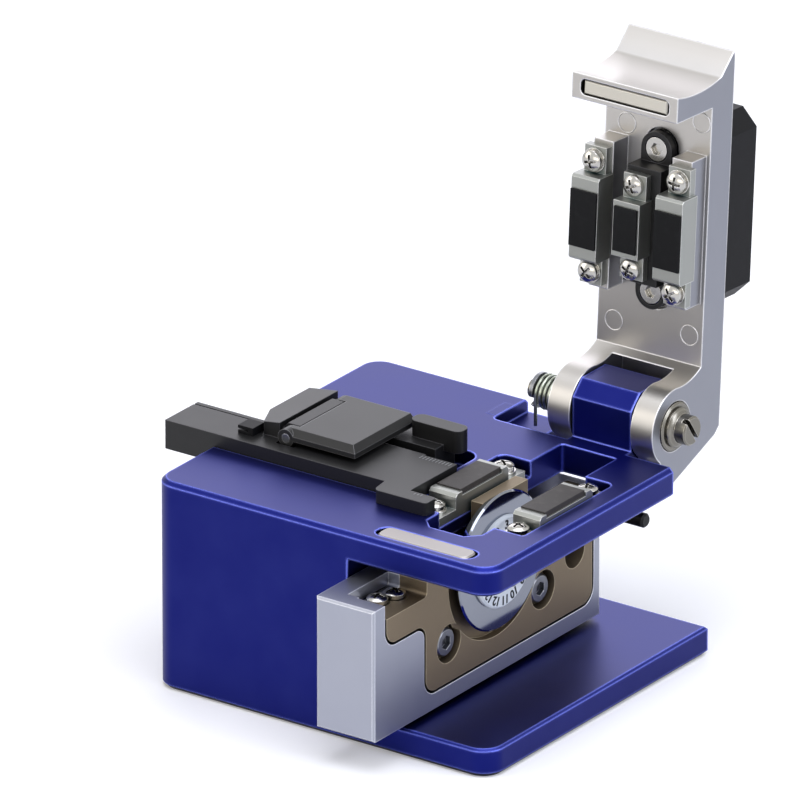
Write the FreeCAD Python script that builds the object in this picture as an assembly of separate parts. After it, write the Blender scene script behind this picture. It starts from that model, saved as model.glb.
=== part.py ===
"""Bench-top fibre cleaver: a milled frame, a blade carriage on a linear guide, a hinged clamping
lid and a slip-in fibre holder. Millimetres. The origin is the centre of the frame's bottom face,
+X runs along the fibre away from its holder, +Y runs from the front to the lid's hinge, +Z is up."""
import FreeCAD, Part
import math
import os

V = FreeCAD.Vector

# ---------------------------------------------------------------- driving dimensions
# frame: a block with a slot milled right through it from front to back
body_w = 63.0          # along the fibre
body_d = 58.7          # front to back
body_h = 34.6
top_t = 4.7            # the plate over the slot
base_t = 4.7           # the plate under the slot
block_w = 36.6         # solid part to the left of the slot
corner_r = 3.7
bevel = 0.7
pad_t = 1.0            # rubber sheet let into the bottom
pad_inset = 4.0
over = 1.0             # how far a cutting tool reaches past the face it starts from

# the cut
cut_x = 17.2           # plane of the blade's edge
fibre_y = -0.8
fibre_z = 36.2
fit = 0.05             # radial clearance of a screw in its hole and of a running pin
slack = 0.15           # gap beside a part that is dropped into a pocket

# window over the blade
window_half = 5.1
window_front = -20.35
window_back = 17.75
window_cut = 2.0       # cut-off front corners
window_round = 0.5     # rear corners

# anvils beside the window
anvil_pitch = 15.6
anvil_w = 5.0
anvil_y = -3.35
anvil_block = 14.0
anvil_flange = 22.8
anvil_flange_t = 1.4
anvil_screw_pitch = 18.4
anvil_side_h = 0.9     # side walls stand this far under the rubber's face
anvil_end_h = 0.25     # end walls
rubber_w = 4.4
rubber_l = 10.6
rubber_t = 1.7
pocket_depth = 2.6

# small pan-head screws with a cross recess
screw_r = 0.8
head_r = 1.7
head_h = 1.3
washer_r = 1.95
washer_t = 0.4

# steel strip that the lid's magnet holds on
strip_l = 16.6
strip_w = 3.6
strip_t = 1.3
strip_y = -25.6
strip_slot_l = 18.0
strip_proud = 0.1

# hinge
hinge_y = 26.65
hinge_z = 38.0
boss_half = 5.6
boss_w = 10.9
boss_cut = 2.4
ear_w = 4.05
ear_gap = 0.25
ear_r = 6.2
ear_clear = 0.8        # ear to the frame in front of it
pin_r = 1.5
bush_t = 0.7
hinge_head_r = 2.9
hinge_head_h = 2.4
hinge_washer_r = 4.0
hinge_washer_t = 0.7
spring_l = 5.0
spring_r = 2.6
spring_wire = 0.55
spring_turns = 5
wire_flats = 8         # the springs' wire is drawn with eight flats
clip_t = 0.6
clip_groove = 0.25     # depth in the hinge screw
open_angle = 93.5      # lid, drawn closed, with heights over the hinge axis and reaches in front of it
lid_in = 6.6
lid_t = 5.7
lip_back = 49.9
lip_front = 54.0
lip_drop = 3.0         # under the hinge axis
tip_reach = 57.8
crease_h = 8.8
web_h = 8.0
fork_reach = 6.9
tail_y = 10.1
tail_z = 1.4
heel_y = 4.5
magnet_l = 15.4
magnet_w = 2.6
magnet_h = 3.0
rail_w = 3.6
rail_out = 0.7         # rail's outer side to the lid's side
rail_l = 24.0
rail_h = 3.9

# clamping pads in the lid
pad_gap = 0.25         # pad to anvil with the lid shut: the fibre's own thickness
pad_w = 5.0
pad_block = 13.8
pad_flange = 22.4
pad_flange_t = 1.4
pad_screw_pitch = 18.0
pad_rubber_w = 4.8
pad_rubber_l = 9.2
pad_rubber_t = 0.9
pad_proud = 0.35

# sprung centre pad that breaks the fibre over the score
centre_w = 4.8
centre_block = 10.6
centre_flange = 17.0
centre_rubber_l = 7.2
centre_screw_pitch = 13.6
bracket_w = 5.4
bracket_pitch = 23.2
bracket_eye_r = 3.2
bracket_t = 3.0
bracket_mid_t = 3.6
float_gap = 1.0        # between bracket and lid
float_travel = 0.8
shoulder_r = 1.3
shoulder_head_r = 2.1
shoulder_head_h = 1.3
shoulder_deep = 3.2    # into the lid
spring_pocket_r = 2.3
spring_pocket_d = 2.4
float_coil_r = 1.8
float_wire_r = 0.2
float_coil_turns = 2

# cover on the lid's back
cover_l = 30.7
cover_y = -3.5
cover_h = 10.2
cover_inset = 1.4
cover_cut = 2.7
cover_wall = 1.4
cover_screw_pitch = 12.0
cover_screw_deep = 2.0

# carriage
car_t = 10.8
car_gap = 0.3          # carriage to block
car_wall = 2.6         # left in front of the channel for the guide
car_front = -38.1
car_l = 60.15
car_z = 5.6
car_h = 21.7
stroke = 12.5
plate_t = 5.1
plate_margin = 3.1
plate_rim = 0.45
plate_front = 3.4      # carriage's front face to the plate
plate_back = 2.0
step_y = 13.75         # carriage's front face to the step in the plate
step_z = 14.9          # carriage's underside to the step
plate_corner = 2.4
bore_r = 12.7          # round window that the blade turns in
bore_depth = 1.4
bar_front = 1.4        # bar that stands up behind the blade: blade axis to its front end
bar_back = 10.4
bar_t = 2.3
bar_top = 33.9
plate_screw_pitch = 25.1
plate_screw_z = 15.1
plate_cbore_r = 3.15
plate_cbore_d = 2.0
plate_head_r = 2.35
plate_hole_r = 2.6
plate_hole_back = 6.7  # plain hole: from the carriage's rear end
plate_hole_z = 18.3
notch_l = 10.6         # pocket in the carriage's top, with its two screws
notch_w = 7.2
notch_d = 2.4
pin_back = 3.6         # return pin: from the carriage's rear end
pin_z = 25.2
return_r = 1.15
return_l = 11.2

# blade
blade_r = 11.2
blade_t = 1.7
blade_y = -5.75
blade_z = 24.6
blade_edge = 1.0       # width of the ground bevel
dial_r = 7.4
dial_t = 0.8
axle_r = 2.4
nut_r = 3.6
nut_t = 1.7
spacer_r = 4.6
blade_gap = 0.25       # at each side of the turning blade

# linear guide between block and carriage
guide_z = 16.5
rail_base = 3.0        # rail's foot inside the block
rail_tall = 4.8
rail_wide = 7.0
rail_len = 44.6
rail_screw_pitch = 16.0
bearing_wide = 17.0
bearing_len = 24.0
bearing_tall = 5.6
bearing_lift = 1.3     # rail's foot to the bearing
bearing_back = 1.5     # bearing centre to the blade's axis
guide_fit = 0.08
guide_room = 0.4
stop_r = 1.1
stop_gap = 0.3

# fibre holder
holder_floor = 32.0
holder_t = 4.8
holder_y0 = -14.0
holder_y1 = 5.6
holder_x1 = 0.5
channel_x1 = 4.5       # channel's round end
channel_back = 1.5     # left behind the holder
channel_r = 2.5
arm_out = 8.6          # overhang at the left
arm_w = 8.6
arm_end = -26.5
head_x0 = -0.5
head_x1 = 6.5
head_y0 = -17.3
head_y1 = -2.4
head_t = 3.0
head_step = 0.8
groove_w = 2.4
groove_d = 1.7
fence_x0 = -6.0
fence_x1 = 3.5
fence_w = 3.0
fence_h = 2.7
clamp_x1 = -6.3
clamp_y0 = -11.3
clamp_y1 = 4.9
clamp_under = 0.8      # holder's top to the clamp plate
clamp_t = 1.8
clamp_bevel = 1.0
clamp_pad_w = 4.6
clamp_pad_l = 8.0
clamp_pad_t = 1.0
clamp_pad_in = 0.6     # let into the plate
hinge_block_l = 3.8
clamp_pin_x = -19.3
clamp_pin_z = 37.9
clamp_pin_r = 0.7
clamp_ear_r = 1.45
clamp_ear_w = 2.0
bridge_l = 5.4         # strap over the cable
bridge_y0 = -6.6
bridge_fall = 1.1
latch_l = 3.2
latch_w = 4.2
latch_h = 1.5
latch_out = 1.5
magnet_r = 2.2
magnet_t = 1.6

# ---------------------------------------------------------------- places worked out from them
left, right = -body_w / 2, body_w / 2
front, back = -body_d / 2, body_d / 2
slot_x = left + block_w
slot_top = body_h - top_t
ear_in = boss_w / 2 + ear_gap
ear_out = ear_in + ear_w
rear_edge = hinge_y - ear_r - ear_clear
pocket_z = body_h - pocket_depth
lid_face = hinge_z + lid_in            # inner face of the closed lid
lid_top = lid_face + lid_t
pad_face = fibre_z - 0.1 + pad_gap     # face of the pads with the lid shut
rubber_face = fibre_z - 0.1
car_x0 = slot_x + car_gap
car_x1 = car_x0 + car_t
car_back = car_front + car_l
car_top = car_z + car_h
rail_x = slot_x - rail_base
holder_top = holder_floor + holder_t
clamp_z = holder_top + clamp_under
bracket_top = lid_face - float_gap
screw_y = (-anvil_screw_pitch / 2, anvil_screw_pitch / 2)


# ---------------------------------------------------------------- building blocks
def box(x0, x1, y0, y1, z0, z1):
    return Part.makeBox(x1 - x0, y1 - y0, z1 - z0, V(x0, y0, z0))


def rod(r, x, y, z, length, axis):
    """A cylinder that starts at x, y, z."""
    return Part.makeCylinder(r, length, V(x, y, z), axis)


def fuse(first, *others):
    shape = first
    for other in others:
        shape = shape.fuse(other)
    return shape.removeSplitter()


def cut(shape, *tools):
    for tool in tools:
        shape = shape.cut(tool)
    return shape


def prism_x(outline, x0, x1):
    """Extrude a closed outline of (y, z) points from x0 to x1."""
    ring = [V(x0, y, z) for y, z in outline]
    return Part.Face(Part.makePolygon(ring + ring[:1])).extrude(V(x1 - x0, 0, 0))


def prism_y(outline, y0, y1):
    """Extrude a closed outline of (x, z) points from y0 to y1."""
    ring = [V(x, y0, z) for x, z in outline]
    return Part.Face(Part.makePolygon(ring + ring[:1])).extrude(V(0, y1 - y0, 0))


def prism_z(outline, z0, z1):
    """Extrude a closed outline of (x, y) points from z0 to z1."""
    ring = [V(x, y, z0) for x, y in outline]
    return Part.Face(Part.makePolygon(ring + ring[:1])).extrude(V(0, 0, z1 - z0))


def edges_at(shape, test):
    """The edges whose two ends and middle all pass the test."""
    found = []
    for edge in shape.Edges:
        middle = edge.valueAt((edge.FirstParameter + edge.LastParameter) / 2)
        points = [vertex.Point for vertex in edge.Vertexes] + [middle]
        if all(test(point) for point in points):
            found.append(edge)
    return found


def near(a, b):
    return abs(a - b) < 1e-4


def along(shape, direction):
    """The straight edges that run along a direction."""
    found = []
    for edge in shape.Edges:
        if len(edge.Vertexes) == 2 and edge.Curve.TypeId == "Part::GeomLine":
            step = edge.Vertexes[1].Point.sub(edge.Vertexes[0].Point)
            if step.cross(direction).Length < 1e-6:
                found.append(edge)
    return found


def slab(x0, x1, y0, y1, z0, z1, radius):
    """A plate with rounded upright corners."""
    plate = box(x0, x1, y0, y1, z0, z1)
    return plate.makeFillet(radius, along(plate, V(0, 0, 1)))


def turned(profile, axis_y, axis_z):
    """Revolve (x, radius) points about a line along X."""
    ring = [V(x, axis_y + r, axis_z) for x, r in profile]
    face = Part.Face(Part.makePolygon(ring + ring[:1]))
    return face.revolve(V(0, axis_y, axis_z), V(1, 0, 0), 360)


def pan_screw(length):
    """A pan-head screw with a cross recess, seated at z = 0 with its head above."""
    dome = [(0, 0), (head_r, 0), (head_r, head_h * 0.6), (head_r * 0.93, head_h * 0.85),
            (head_r * 0.75, head_h), (0, head_h)]
    outline = [V(r, 0, z) for r, z in dome]
    head = Part.Face(Part.makePolygon(outline + outline[:1])).revolve(V(), V(0, 0, 1), 360)
    arm = head_r * 0.62
    wing = head_r * 0.13
    floor = head_h * 0.4
    recess = fuse(box(-arm, arm, -wing, wing, floor, head_h + over),
                  box(-wing, wing, -arm, arm, floor, head_h + over))
    shank = Part.makeCylinder(screw_r, length, V(0, 0, -length))
    return fuse(cut(head, recess), shank)


def socket_screw(r, h, shank_r, length, hex_r):
    """A socket-head screw seated at z = 0 with its head above."""
    head = Part.makeCylinder(r, h)
    head = head.makeChamfer(0.3, edges_at(head, lambda p: near(p.z, h)))
    ring = [(hex_r * math.cos(math.radians(60 * i)), hex_r * math.sin(math.radians(60 * i)))
            for i in range(6)]
    shank = Part.makeCylinder(shank_r, length, V(0, 0, -length))
    return fuse(cut(head, prism_z(ring, h * 0.4, h + 1)), shank)


def coil(radius, wire, rise, turns):
    """A helical spring on the Z axis, from z = 0 up, that starts on the +X side."""
    step = 2 * math.pi / wire_flats
    corner = wire / 2 * math.sqrt(step / math.sin(step))   # eight flats with the round's area
    flats = [V(radius + corner * math.cos(step * i), 0, corner * math.sin(step * i))
             for i in range(wire_flats)]
    section = Part.makePolygon(flats + flats[:1])
    return Part.Wire(Part.makeHelix(rise / turns, rise, radius)).makePipeShell([section], True, True)


def ring(outer, inner, thick):
    return cut(Part.makeCylinder(outer, thick), Part.makeCylinder(inner, thick))


def placed(shape, x, y, z, axis=V(0, 0, 1), spin=0):
    """A copy whose own +Z points along axis, set down at x, y, z."""
    copy = shape.copy()
    turn = FreeCAD.Rotation(V(0, 0, 1), axis).multiply(FreeCAD.Rotation(V(0, 0, 1), spin))
    copy.Placement = FreeCAD.Placement(V(x, y, z), turn).multiply(copy.Placement)
    return copy


def opened(shape):
    """Swing a piece that was drawn on the closed lid to the open rest position."""
    copy = shape.copy()
    copy.rotate(V(0, hinge_y, hinge_z), V(1, 0, 0), -open_angle)
    return copy


parts = {}


def add(name, *solids):
    parts[name] = solids[0] if len(solids) == 1 else Part.makeCompound(list(solids))


# ---------------------------------------------------------------- frame
def window():
    """Window over the blade, with cut-off front corners and tight rear ones."""
    x0, x1 = cut_x - window_half, cut_x + window_half
    c = window_cut
    outline = [(x0 + c, window_front), (x1 - c, window_front), (x1, window_front + c),
               (x1, window_back), (x0, window_back), (x0, window_front + c)]
    hole = prism_z(outline, slot_top - 1, body_h + 1)
    rear = [e for e in along(hole, V(0, 0, 1)) if near(e.Vertexes[0].Point.y, window_back)]
    return hole.makeFillet(window_round, rear)


def frame_blank():
    blank = slab(left, right, front, back, 0, body_h, corner_r)
    rims = edges_at(blank, lambda p: near(p.z, body_h)) + edges_at(blank, lambda p: near(p.z, 0))
    blank = blank.makeChamfer(bevel, rims)
    blank = cut(blank, box(slot_x, right + 1, front - 1, back + 1, base_t, slot_top))

    def on_slot_rim(p):
        outside = near(abs(p.x), body_w / 2) or near(abs(p.y), body_d / 2)
        inside = p.x > right - corner_r - 1e-4 and abs(p.y) > body_d / 2 - corner_r - 1e-4
        return (near(p.z, base_t) or near(p.z, slot_top)) and (outside or inside)

    return blank.makeChamfer(bevel * 0.6, edges_at(blank, on_slot_rim))


def hinge_boss():
    y0, y1 = hinge_y - boss_half, hinge_y + boss_half
    top = hinge_z + boss_half
    c = boss_cut
    outline = [(rear_edge - 1, slot_top), (y1 - c, slot_top), (y1, slot_top + c), (y1, top - c),
               (y1 - c, top), (y0 + c, top), (y0, top - c), (y0, body_h),
               (rear_edge - 1, body_h)]
    return prism_x(outline, cut_x - boss_w / 2, cut_x + boss_w / 2)


def body_frame():
    shape = frame_blank()
    shape = cut(shape, box(slot_x, right + 1, rear_edge, back + 1, slot_top - 1, body_h + 1))
    shape = fuse(shape, hinge_boss())
    shape = cut(shape, rod(pin_r + bush_t, cut_x - boss_w, hinge_y, hinge_z, 2 * boss_w, V(1, 0, 0)))
    # window and the two anvil pockets beside it
    shape = cut(shape, window())
    reach = anvil_pitch / 2 + anvil_w / 2 + slack
    half = anvil_flange / 2 + 2 * slack
    shape = cut(shape, slab(cut_x - reach, cut_x + reach, anvil_y - half, anvil_y + half,
                            pocket_z, body_h + 1, 0.4))
    for side in (-1, 1):
        for y in screw_y:
            shape = cut(shape, rod(screw_r + fit, cut_x + side * anvil_pitch / 2, anvil_y + y,
                                   slot_top - 1, top_t + 1, V(0, 0, 1)))
    # slot for the strip, channel for the holder, pocket for the spring's leg
    shape = cut(shape, slab(cut_x - strip_slot_l / 2, cut_x + strip_slot_l / 2,
                            strip_y - strip_w / 2, strip_y + strip_w / 2,
                            body_h - strip_t + strip_proud, body_h + 1, strip_w / 2 - 0.2))
    channel = box(left - 1, channel_x1, holder_y0 - slack, holder_y1 + channel_back,
                  holder_floor, body_h + 1)
    inner = [e for e in along(channel, V(0, 0, 1)) if near(e.Vertexes[0].Point.x, channel_x1)]
    shape = cut(shape, channel.makeFillet(channel_r, inner))
    x = cut_x - ear_out - spring_l
    leg = [(x - 6.5, hinge_y - 4.5), (x + 2.5, hinge_y - 5.6), (x + 2.5, hinge_y - 1.0)]
    shape = cut(shape, prism_z(leg, body_h - 4.0, body_h + 1))
    # groove for the guide, with its screw and stop holes
    half = bearing_wide / 2 + guide_room
    shape = cut(shape, box(rail_x, slot_x + 1, rail_front() - 1, back + 1,
                           guide_z - half, guide_z + half))
    for y in rail_screw_places():
        shape = cut(shape, rod(screw_r + fit, rail_x - 5, y, guide_z, 6, V(1, 0, 0)))
    for y in stop_places():
        shape = cut(shape, rod(stop_r, rail_x - 3, y, guide_z + 6, 4, V(1, 0, 0)))
    # recess for the rubber sheet
    return cut(shape, slab(left + pad_inset, right - pad_inset, front + pad_inset,
                           back - pad_inset, -1, pad_t, corner_r))


def base_pad():
    return slab(left + pad_inset, right - pad_inset, front + pad_inset, back - pad_inset,
                0, pad_t, corner_r)


def strike_strip():
    z1 = body_h + strip_proud
    strip = slab(cut_x - strip_l / 2, cut_x + strip_l / 2, strip_y - strip_w / 2,
                 strip_y + strip_w / 2, z1 - strip_t, z1, 1.2)
    return strip.makeChamfer(0.25, edges_at(strip, lambda p: near(p.z, z1)))


# ---------------------------------------------------------------- linear guide
def rail_screw_places():
    middle = rail_front() + rail_len / 2
    return [middle + k * rail_screw_pitch for k in (-1, 0, 1)]


def rail_front():
    """The rail ends behind the carriage's front wall, also when that is pushed right back."""
    return car_front + stroke + car_wall + 1.5


def bearing_centre():
    return blade_y + bearing_back


def stop_places():
    half = bearing_len / 2 + stop_gap + stop_r
    return [bearing_centre() - half, bearing_centre() + half + stroke]


def slide_rail():
    y0 = rail_front()
    x1 = rail_x + rail_tall
    half = rail_wide / 2
    waist = 0.8
    outline = [(rail_x, guide_z - half), (rail_x + 1.6, guide_z - half),
               (rail_x + 2.2, guide_z - half + waist), (rail_x + 3.2, guide_z - half + waist),
               (rail_x + 3.8, guide_z - half), (x1, guide_z - half),
               (x1, guide_z + half), (rail_x + 3.8, guide_z + half),
               (rail_x + 3.2, guide_z + half - waist), (rail_x + 2.2, guide_z + half - waist),
               (rail_x + 1.6, guide_z + half), (rail_x, guide_z + half)]
    rail = prism_y(outline, y0, y0 + rail_len)
    for y in rail_screw_places():
        rail = cut(rail, rod(screw_r + fit, rail_x - 1, y, guide_z, rail_tall + 2, V(1, 0, 0)),
                   rod(head_r + fit, x1 - head_h - 0.2, y, guide_z, 3, V(1, 0, 0)))
    return rail


def slide_bearing():
    x0 = rail_x + bearing_lift
    x1 = x0 + bearing_tall
    y0 = bearing_centre() - bearing_len / 2
    block = box(x0, x1, y0, y0 + bearing_len, guide_z - bearing_wide / 2,
                guide_z + bearing_wide / 2)
    half = rail_wide / 2 + guide_fit
    tunnel = box(x0 - 1, rail_x + rail_tall + guide_fit, y0 - 1, y0 + bearing_len + 1,
                 guide_z - half, guide_z + half)
    block = cut(block, tunnel)
    for y, z in bearing_screw_places():
        block = cut(block, rod(screw_r + fit, x1 - 3, y, z, 4, V(1, 0, 0)))
    return block


def bearing_screw_places():
    return [(bearing_centre() + i * 8.0, guide_z + j * 6.0) for i in (-1, 1) for j in (-1, 1)]


def guide_screws():
    seat = rail_x + rail_tall - head_h - 0.2
    for_rail = [placed(pan_screw(seat - rail_x + 4), seat, y, guide_z, V(1, 0, 0), 30)
                for y in rail_screw_places()]
    add("rail_screws", *for_rail)
    seat = car_x1 - plate_t - head_h - 0.2
    floor = rail_x + bearing_lift + bearing_tall
    for_bearing = [placed(pan_screw(seat - floor + 2.5), seat, y, z, V(1, 0, 0), 15)
                   for y, z in bearing_screw_places()]
    add("bearing_screws", *for_bearing)
    stops = [rod(stop_r, rail_x - 3, y, guide_z + 6, 3 + rail_base - 0.2, V(1, 0, 0))
             for y in stop_places()]
    add("travel_stops", *stops)


# ---------------------------------------------------------------- carriage
def plate_outline(grow):
    """Outline of the inlaid plate on the carriage's side, as (y, z) points."""
    y0, y1 = car_front + plate_front - grow, car_back - plate_back + grow
    z0 = car_z + plate_margin - grow
    ys = car_front + step_y - grow
    zs = car_z + step_z - grow
    return [(y0, zs), (ys, zs), (ys, z0), (y1, z0), (y1, car_top), (y0, car_top)]


def plate_blank(grow, x0, x1):
    shape = prism_x(plate_outline(grow), x0, x1)
    y_step = car_front + step_y - grow

    def corner(p):
        low = p.z < car_top - 1 and not (near(p.y, y_step) and p.z > car_z + step_z - 1)
        return low
    lower = [e for e in along(shape, V(1, 0, 0)) if corner(e.Vertexes[0].Point)]
    shape = shape.makeFillet(plate_corner + grow, lower)
    inner = [e for e in along(shape, V(1, 0, 0))
             if near(e.Vertexes[0].Point.y, y_step) and e.Vertexes[0].Point.z > car_z + step_z - 1]
    return shape.makeFillet(plate_corner - grow, inner)


def top_notch(grow):
    """Pocket in the carriage's top for its two screws."""
    x0 = car_x1 - notch_w - grow
    y0 = car_front + plate_front
    y1 = y0 + notch_l
    pocket = box(x0, car_x1 + 1, y0, y1, car_top - notch_d - grow, car_top + 1)
    inner = [e for e in along(pocket, V(1, 0, 0))
             if near(e.Vertexes[0].Point.y, y1) and e.Vertexes[0].Point.z < car_top]
    return pocket.makeFillet(0.8, inner)


def carriage_body():
    shape = box(car_x0, car_x1, car_front, car_back, car_z, car_top)
    shape = shape.makeChamfer(0.35, edges_at(shape, lambda p: near(p.y, car_front)))
    shape = cut(shape, plate_blank(plate_rim, car_x1 - plate_t, car_x1 + 1))
    shape = cut(shape, top_notch(0))
    # channel for the bearing and for the rail on both sides of it
    half = bearing_wide / 2 + slack
    floor = rail_x + bearing_lift + bearing_tall
    shape = cut(shape, box(car_x0 - 1, floor, car_front + car_wall, car_back + 1,
                           guide_z - half, guide_z + half))
    for y, z in bearing_screw_places():
        shape = cut(shape, rod(screw_r + fit, car_x0 - 1, y, z, car_t, V(1, 0, 0)),
                    rod(head_r + fit, car_x1 - plate_t - head_h - 0.2, y, z, 3, V(1, 0, 0)))
    for y in plate_screw_places():
        shape = cut(shape, rod(screw_r + fit, floor, y, plate_screw_z, car_t, V(1, 0, 0)))
    shape = cut(shape, rod(axle_r + fit, floor, blade_y, blade_z, car_t, V(1, 0, 0)))
    for x, y in top_screw_places():
        shape = cut(shape, rod(screw_r + fit, x, y, car_top - notch_d - 4.2, 5, V(0, 0, 1)))
    return shape


def plate_screw_places():
    return [blade_y + side * plate_screw_pitch / 2 for side in (-1, 1)]


def top_screw_places():
    x = car_x1 - plate_t
    y = car_front + plate_front
    return [(x + 0.1, y + 4.6), (x + 0.9, y + 8.0)]


def carriage_plate():
    x0 = car_x1 - plate_t
    shape = plate_blank(0, x0, car_x1)
    shape = cut(shape, rod(bore_r, car_x1 - bore_depth, blade_y, blade_z, bore_depth + 1,
                           V(1, 0, 0)))
    bar = box(car_x1 - bore_depth - bar_t, car_x1 - bore_depth, blade_y - bar_front, blade_y + bar_back, car_top - 4,
              bar_top)
    shape = fuse(shape, bar)
    shape = cut(shape, top_notch(0))
    # let the two top screws' heads stand clear
    for x, y in top_screw_places():
        shape = cut(shape, rod(head_r + 0.3, x, y, car_top - notch_d - 0.1, 4, V(0, 0, 1)),
                    rod(screw_r + 0.3, x, y, car_top - notch_d - 5, 6, V(0, 0, 1)))
    for y in plate_screw_places():
        shape = cut(shape, rod(screw_r + fit, x0 - 1, y, plate_screw_z, plate_t + 2, V(1, 0, 0)),
                    rod(plate_cbore_r, car_x1 - plate_cbore_d, y, plate_screw_z, 5, V(1, 0, 0)))
    shape = cut(shape, rod(plate_hole_r, x0 - 1, car_back - plate_hole_back, plate_hole_z,
                           plate_t + 2, V(1, 0, 0)))
    shape = cut(shape, rod(axle_r + fit, x0 - 1, blade_y, blade_z, plate_t, V(1, 0, 0)))
    return cut(shape, rod(return_r, x0 - 1, car_back - pin_back, pin_z, plate_t + 2, V(1, 0, 0)))


def carriage_fittings():
    seat = car_x1 - plate_cbore_d
    screw = socket_screw(plate_head_r, 1.5, screw_r, plate_t - plate_cbore_d + 1.6, 1.2)
    add("plate_screws", *[placed(screw, seat, y, plate_screw_z, V(1, 0, 0))
                          for y in plate_screw_places()])
    add("carriage_top_screws", *[placed(pan_screw(3.8), x, y, car_top - notch_d, V(0, 0, 1), 20)
                                 for x, y in top_screw_places()])
    pin = rod(return_r, car_x1 - plate_t, car_back - pin_back, pin_z, plate_t + return_l,
              V(1, 0, 0))
    end = car_x1 + return_l
    add("return_pin", pin.makeChamfer(0.3, edges_at(pin, lambda p: near(p.x, end))))


# ---------------------------------------------------------------- blade
def blade():
    x1 = cut_x
    x0 = x1 - blade_t
    bore = axle_r + fit
    profile = [(x0, bore), (x0, blade_r - blade_edge), (x1 - 0.25, blade_r), (x1, blade_r - 0.3),
               (x1, bore)]
    return turned(profile, blade_y, blade_z)


def blade_dial():
    bore = axle_r + fit
    x1 = cut_x + dial_t
    profile = [(cut_x, bore), (cut_x, dial_r), (x1 - 0.3, dial_r), (x1, dial_r - 0.3), (x1, bore)]
    return turned(profile, blade_y, blade_z)


def blade_fittings():
    floor = car_x1 - bore_depth
    spacer_t = cut_x - blade_t - floor - blade_gap
    add("blade_spacer", placed(ring(spacer_r, axle_r, spacer_t), floor, blade_y, blade_z,
                               V(1, 0, 0)))
    end = cut_x + dial_t + blade_gap
    start = rail_x + bearing_lift + bearing_tall + 0.3
    add("blade_axle", rod(axle_r, start, blade_y, blade_z, end - start, V(1, 0, 0)))
    head = Part.makeCylinder(nut_r, nut_t)
    head = head.makeChamfer(0.35, edges_at(head, lambda p: near(p.z, nut_t)))
    ring_points = [(1.5 * math.cos(math.radians(60 * i)), 1.5 * math.sin(math.radians(60 * i)))
                   for i in range(6)]
    head = cut(head, prism_z(ring_points, nut_t * 0.35, nut_t + 1))
    add("blade_clamp_screw", placed(head, end, blade_y, blade_z, V(1, 0, 0)))


# ---------------------------------------------------------------- anvils
def anvil(side):
    x = cut_x + side * anvil_pitch / 2
    half = anvil_w / 2
    foot = box(x - half, x + half, anvil_y - anvil_flange / 2, anvil_y + anvil_flange / 2,
               pocket_z, pocket_z + anvil_flange_t)
    block = box(x - half, x + half, anvil_y - anvil_block / 2, anvil_y + anvil_block / 2,
                pocket_z, rubber_face - anvil_end_h)
    shape = fuse(foot, block)
    shape = cut(shape, box(x - half - 1, x + half + 1, anvil_y - rubber_l / 2,
                           anvil_y + rubber_l / 2, rubber_face - anvil_side_h, rubber_face + 1))
    shape = cut(shape, box(x - rubber_w / 2, x + rubber_w / 2, anvil_y - rubber_l / 2,
                           anvil_y + rubber_l / 2, rubber_face - rubber_t, rubber_face + 1))
    for y in screw_y:
        shape = cut(shape, rod(screw_r + fit, x, anvil_y + y, pocket_z - 1, 4, V(0, 0, 1)))
    ends = edges_at(shape, lambda p: near(p.z, rubber_face - anvil_end_h)
                    and near(abs(p.y - anvil_y), anvil_block / 2))
    return shape.makeChamfer(0.5, ends)


def anvil_rubber(side):
    x = cut_x + side * anvil_pitch / 2
    pad = box(x - rubber_w / 2, x + rubber_w / 2, anvil_y - rubber_l / 2, anvil_y + rubber_l / 2,
              rubber_face - rubber_t, rubber_face)
    return pad


def anvil_fittings():
    seat = pocket_z + anvil_flange_t
    spots = [(cut_x + side * anvil_pitch / 2, anvil_y + y) for side in (-1, 1) for y in screw_y]
    add("anvil_washers", *[placed(ring(washer_r, screw_r + fit, washer_t), x, y, seat)
                           for x, y in spots])
    screw = pan_screw(seat + washer_t - slot_top - 0.3)
    add("anvil_screws", *[placed(screw, x, y, seat + washer_t, V(0, 0, 1), 25 * i)
                          for i, (x, y) in enumerate(spots)])


# ---------------------------------------------------------------- lid
def lid_side():
    """Side view of the closed lid: arm, lip, thumb tab, ears and tail."""
    def at(reach, height):
        return V(0, hinge_y - reach, hinge_z + height)
    lip_low = at(lip_front, -lip_drop)
    crease = at(lip_front + 0.4, crease_h)
    hollow = at(lip_front - 0.5, crease_h * 0.45)
    edges = [
        Part.makeLine(at(-heel_y, lid_in + lid_t - 1.2), at(-heel_y + 1.2, lid_in + lid_t)),
        Part.makeLine(at(-heel_y + 1.2, lid_in + lid_t), at(tip_reach - 0.9, lid_in + lid_t)),
        Part.makeLine(at(tip_reach - 0.9, lid_in + lid_t), at(tip_reach, lid_in + lid_t - 0.25)),
        Part.makeLine(at(tip_reach, lid_in + lid_t - 0.25), crease),
        Part.Arc(crease, hollow, lip_low).toShape(),
        Part.makeLine(lip_low, at(lip_back, -lip_drop)),
        Part.makeLine(at(lip_back, -lip_drop), at(lip_back, lid_in)),
        Part.makeLine(at(lip_back, lid_in), at(ear_r + 1.6, lid_in)),
        Part.Arc(at(ear_r + 1.6, lid_in), at(ear_r + 0.35, lid_in * 0.6), at(ear_r, 0)).toShape(),
        Part.Arc(at(ear_r, 0), at(0, -ear_r), at(-ear_r * 0.8, -ear_r * 0.6)).toShape(),
        Part.makeLine(at(-ear_r * 0.8, -ear_r * 0.6), at(-tail_y, -tail_z)),
        Part.makeLine(at(-tail_y, -tail_z), at(-heel_y, lid_in + lid_t - 1.2)),
    ]
    return Part.Face(Part.Wire(edges))


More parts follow.
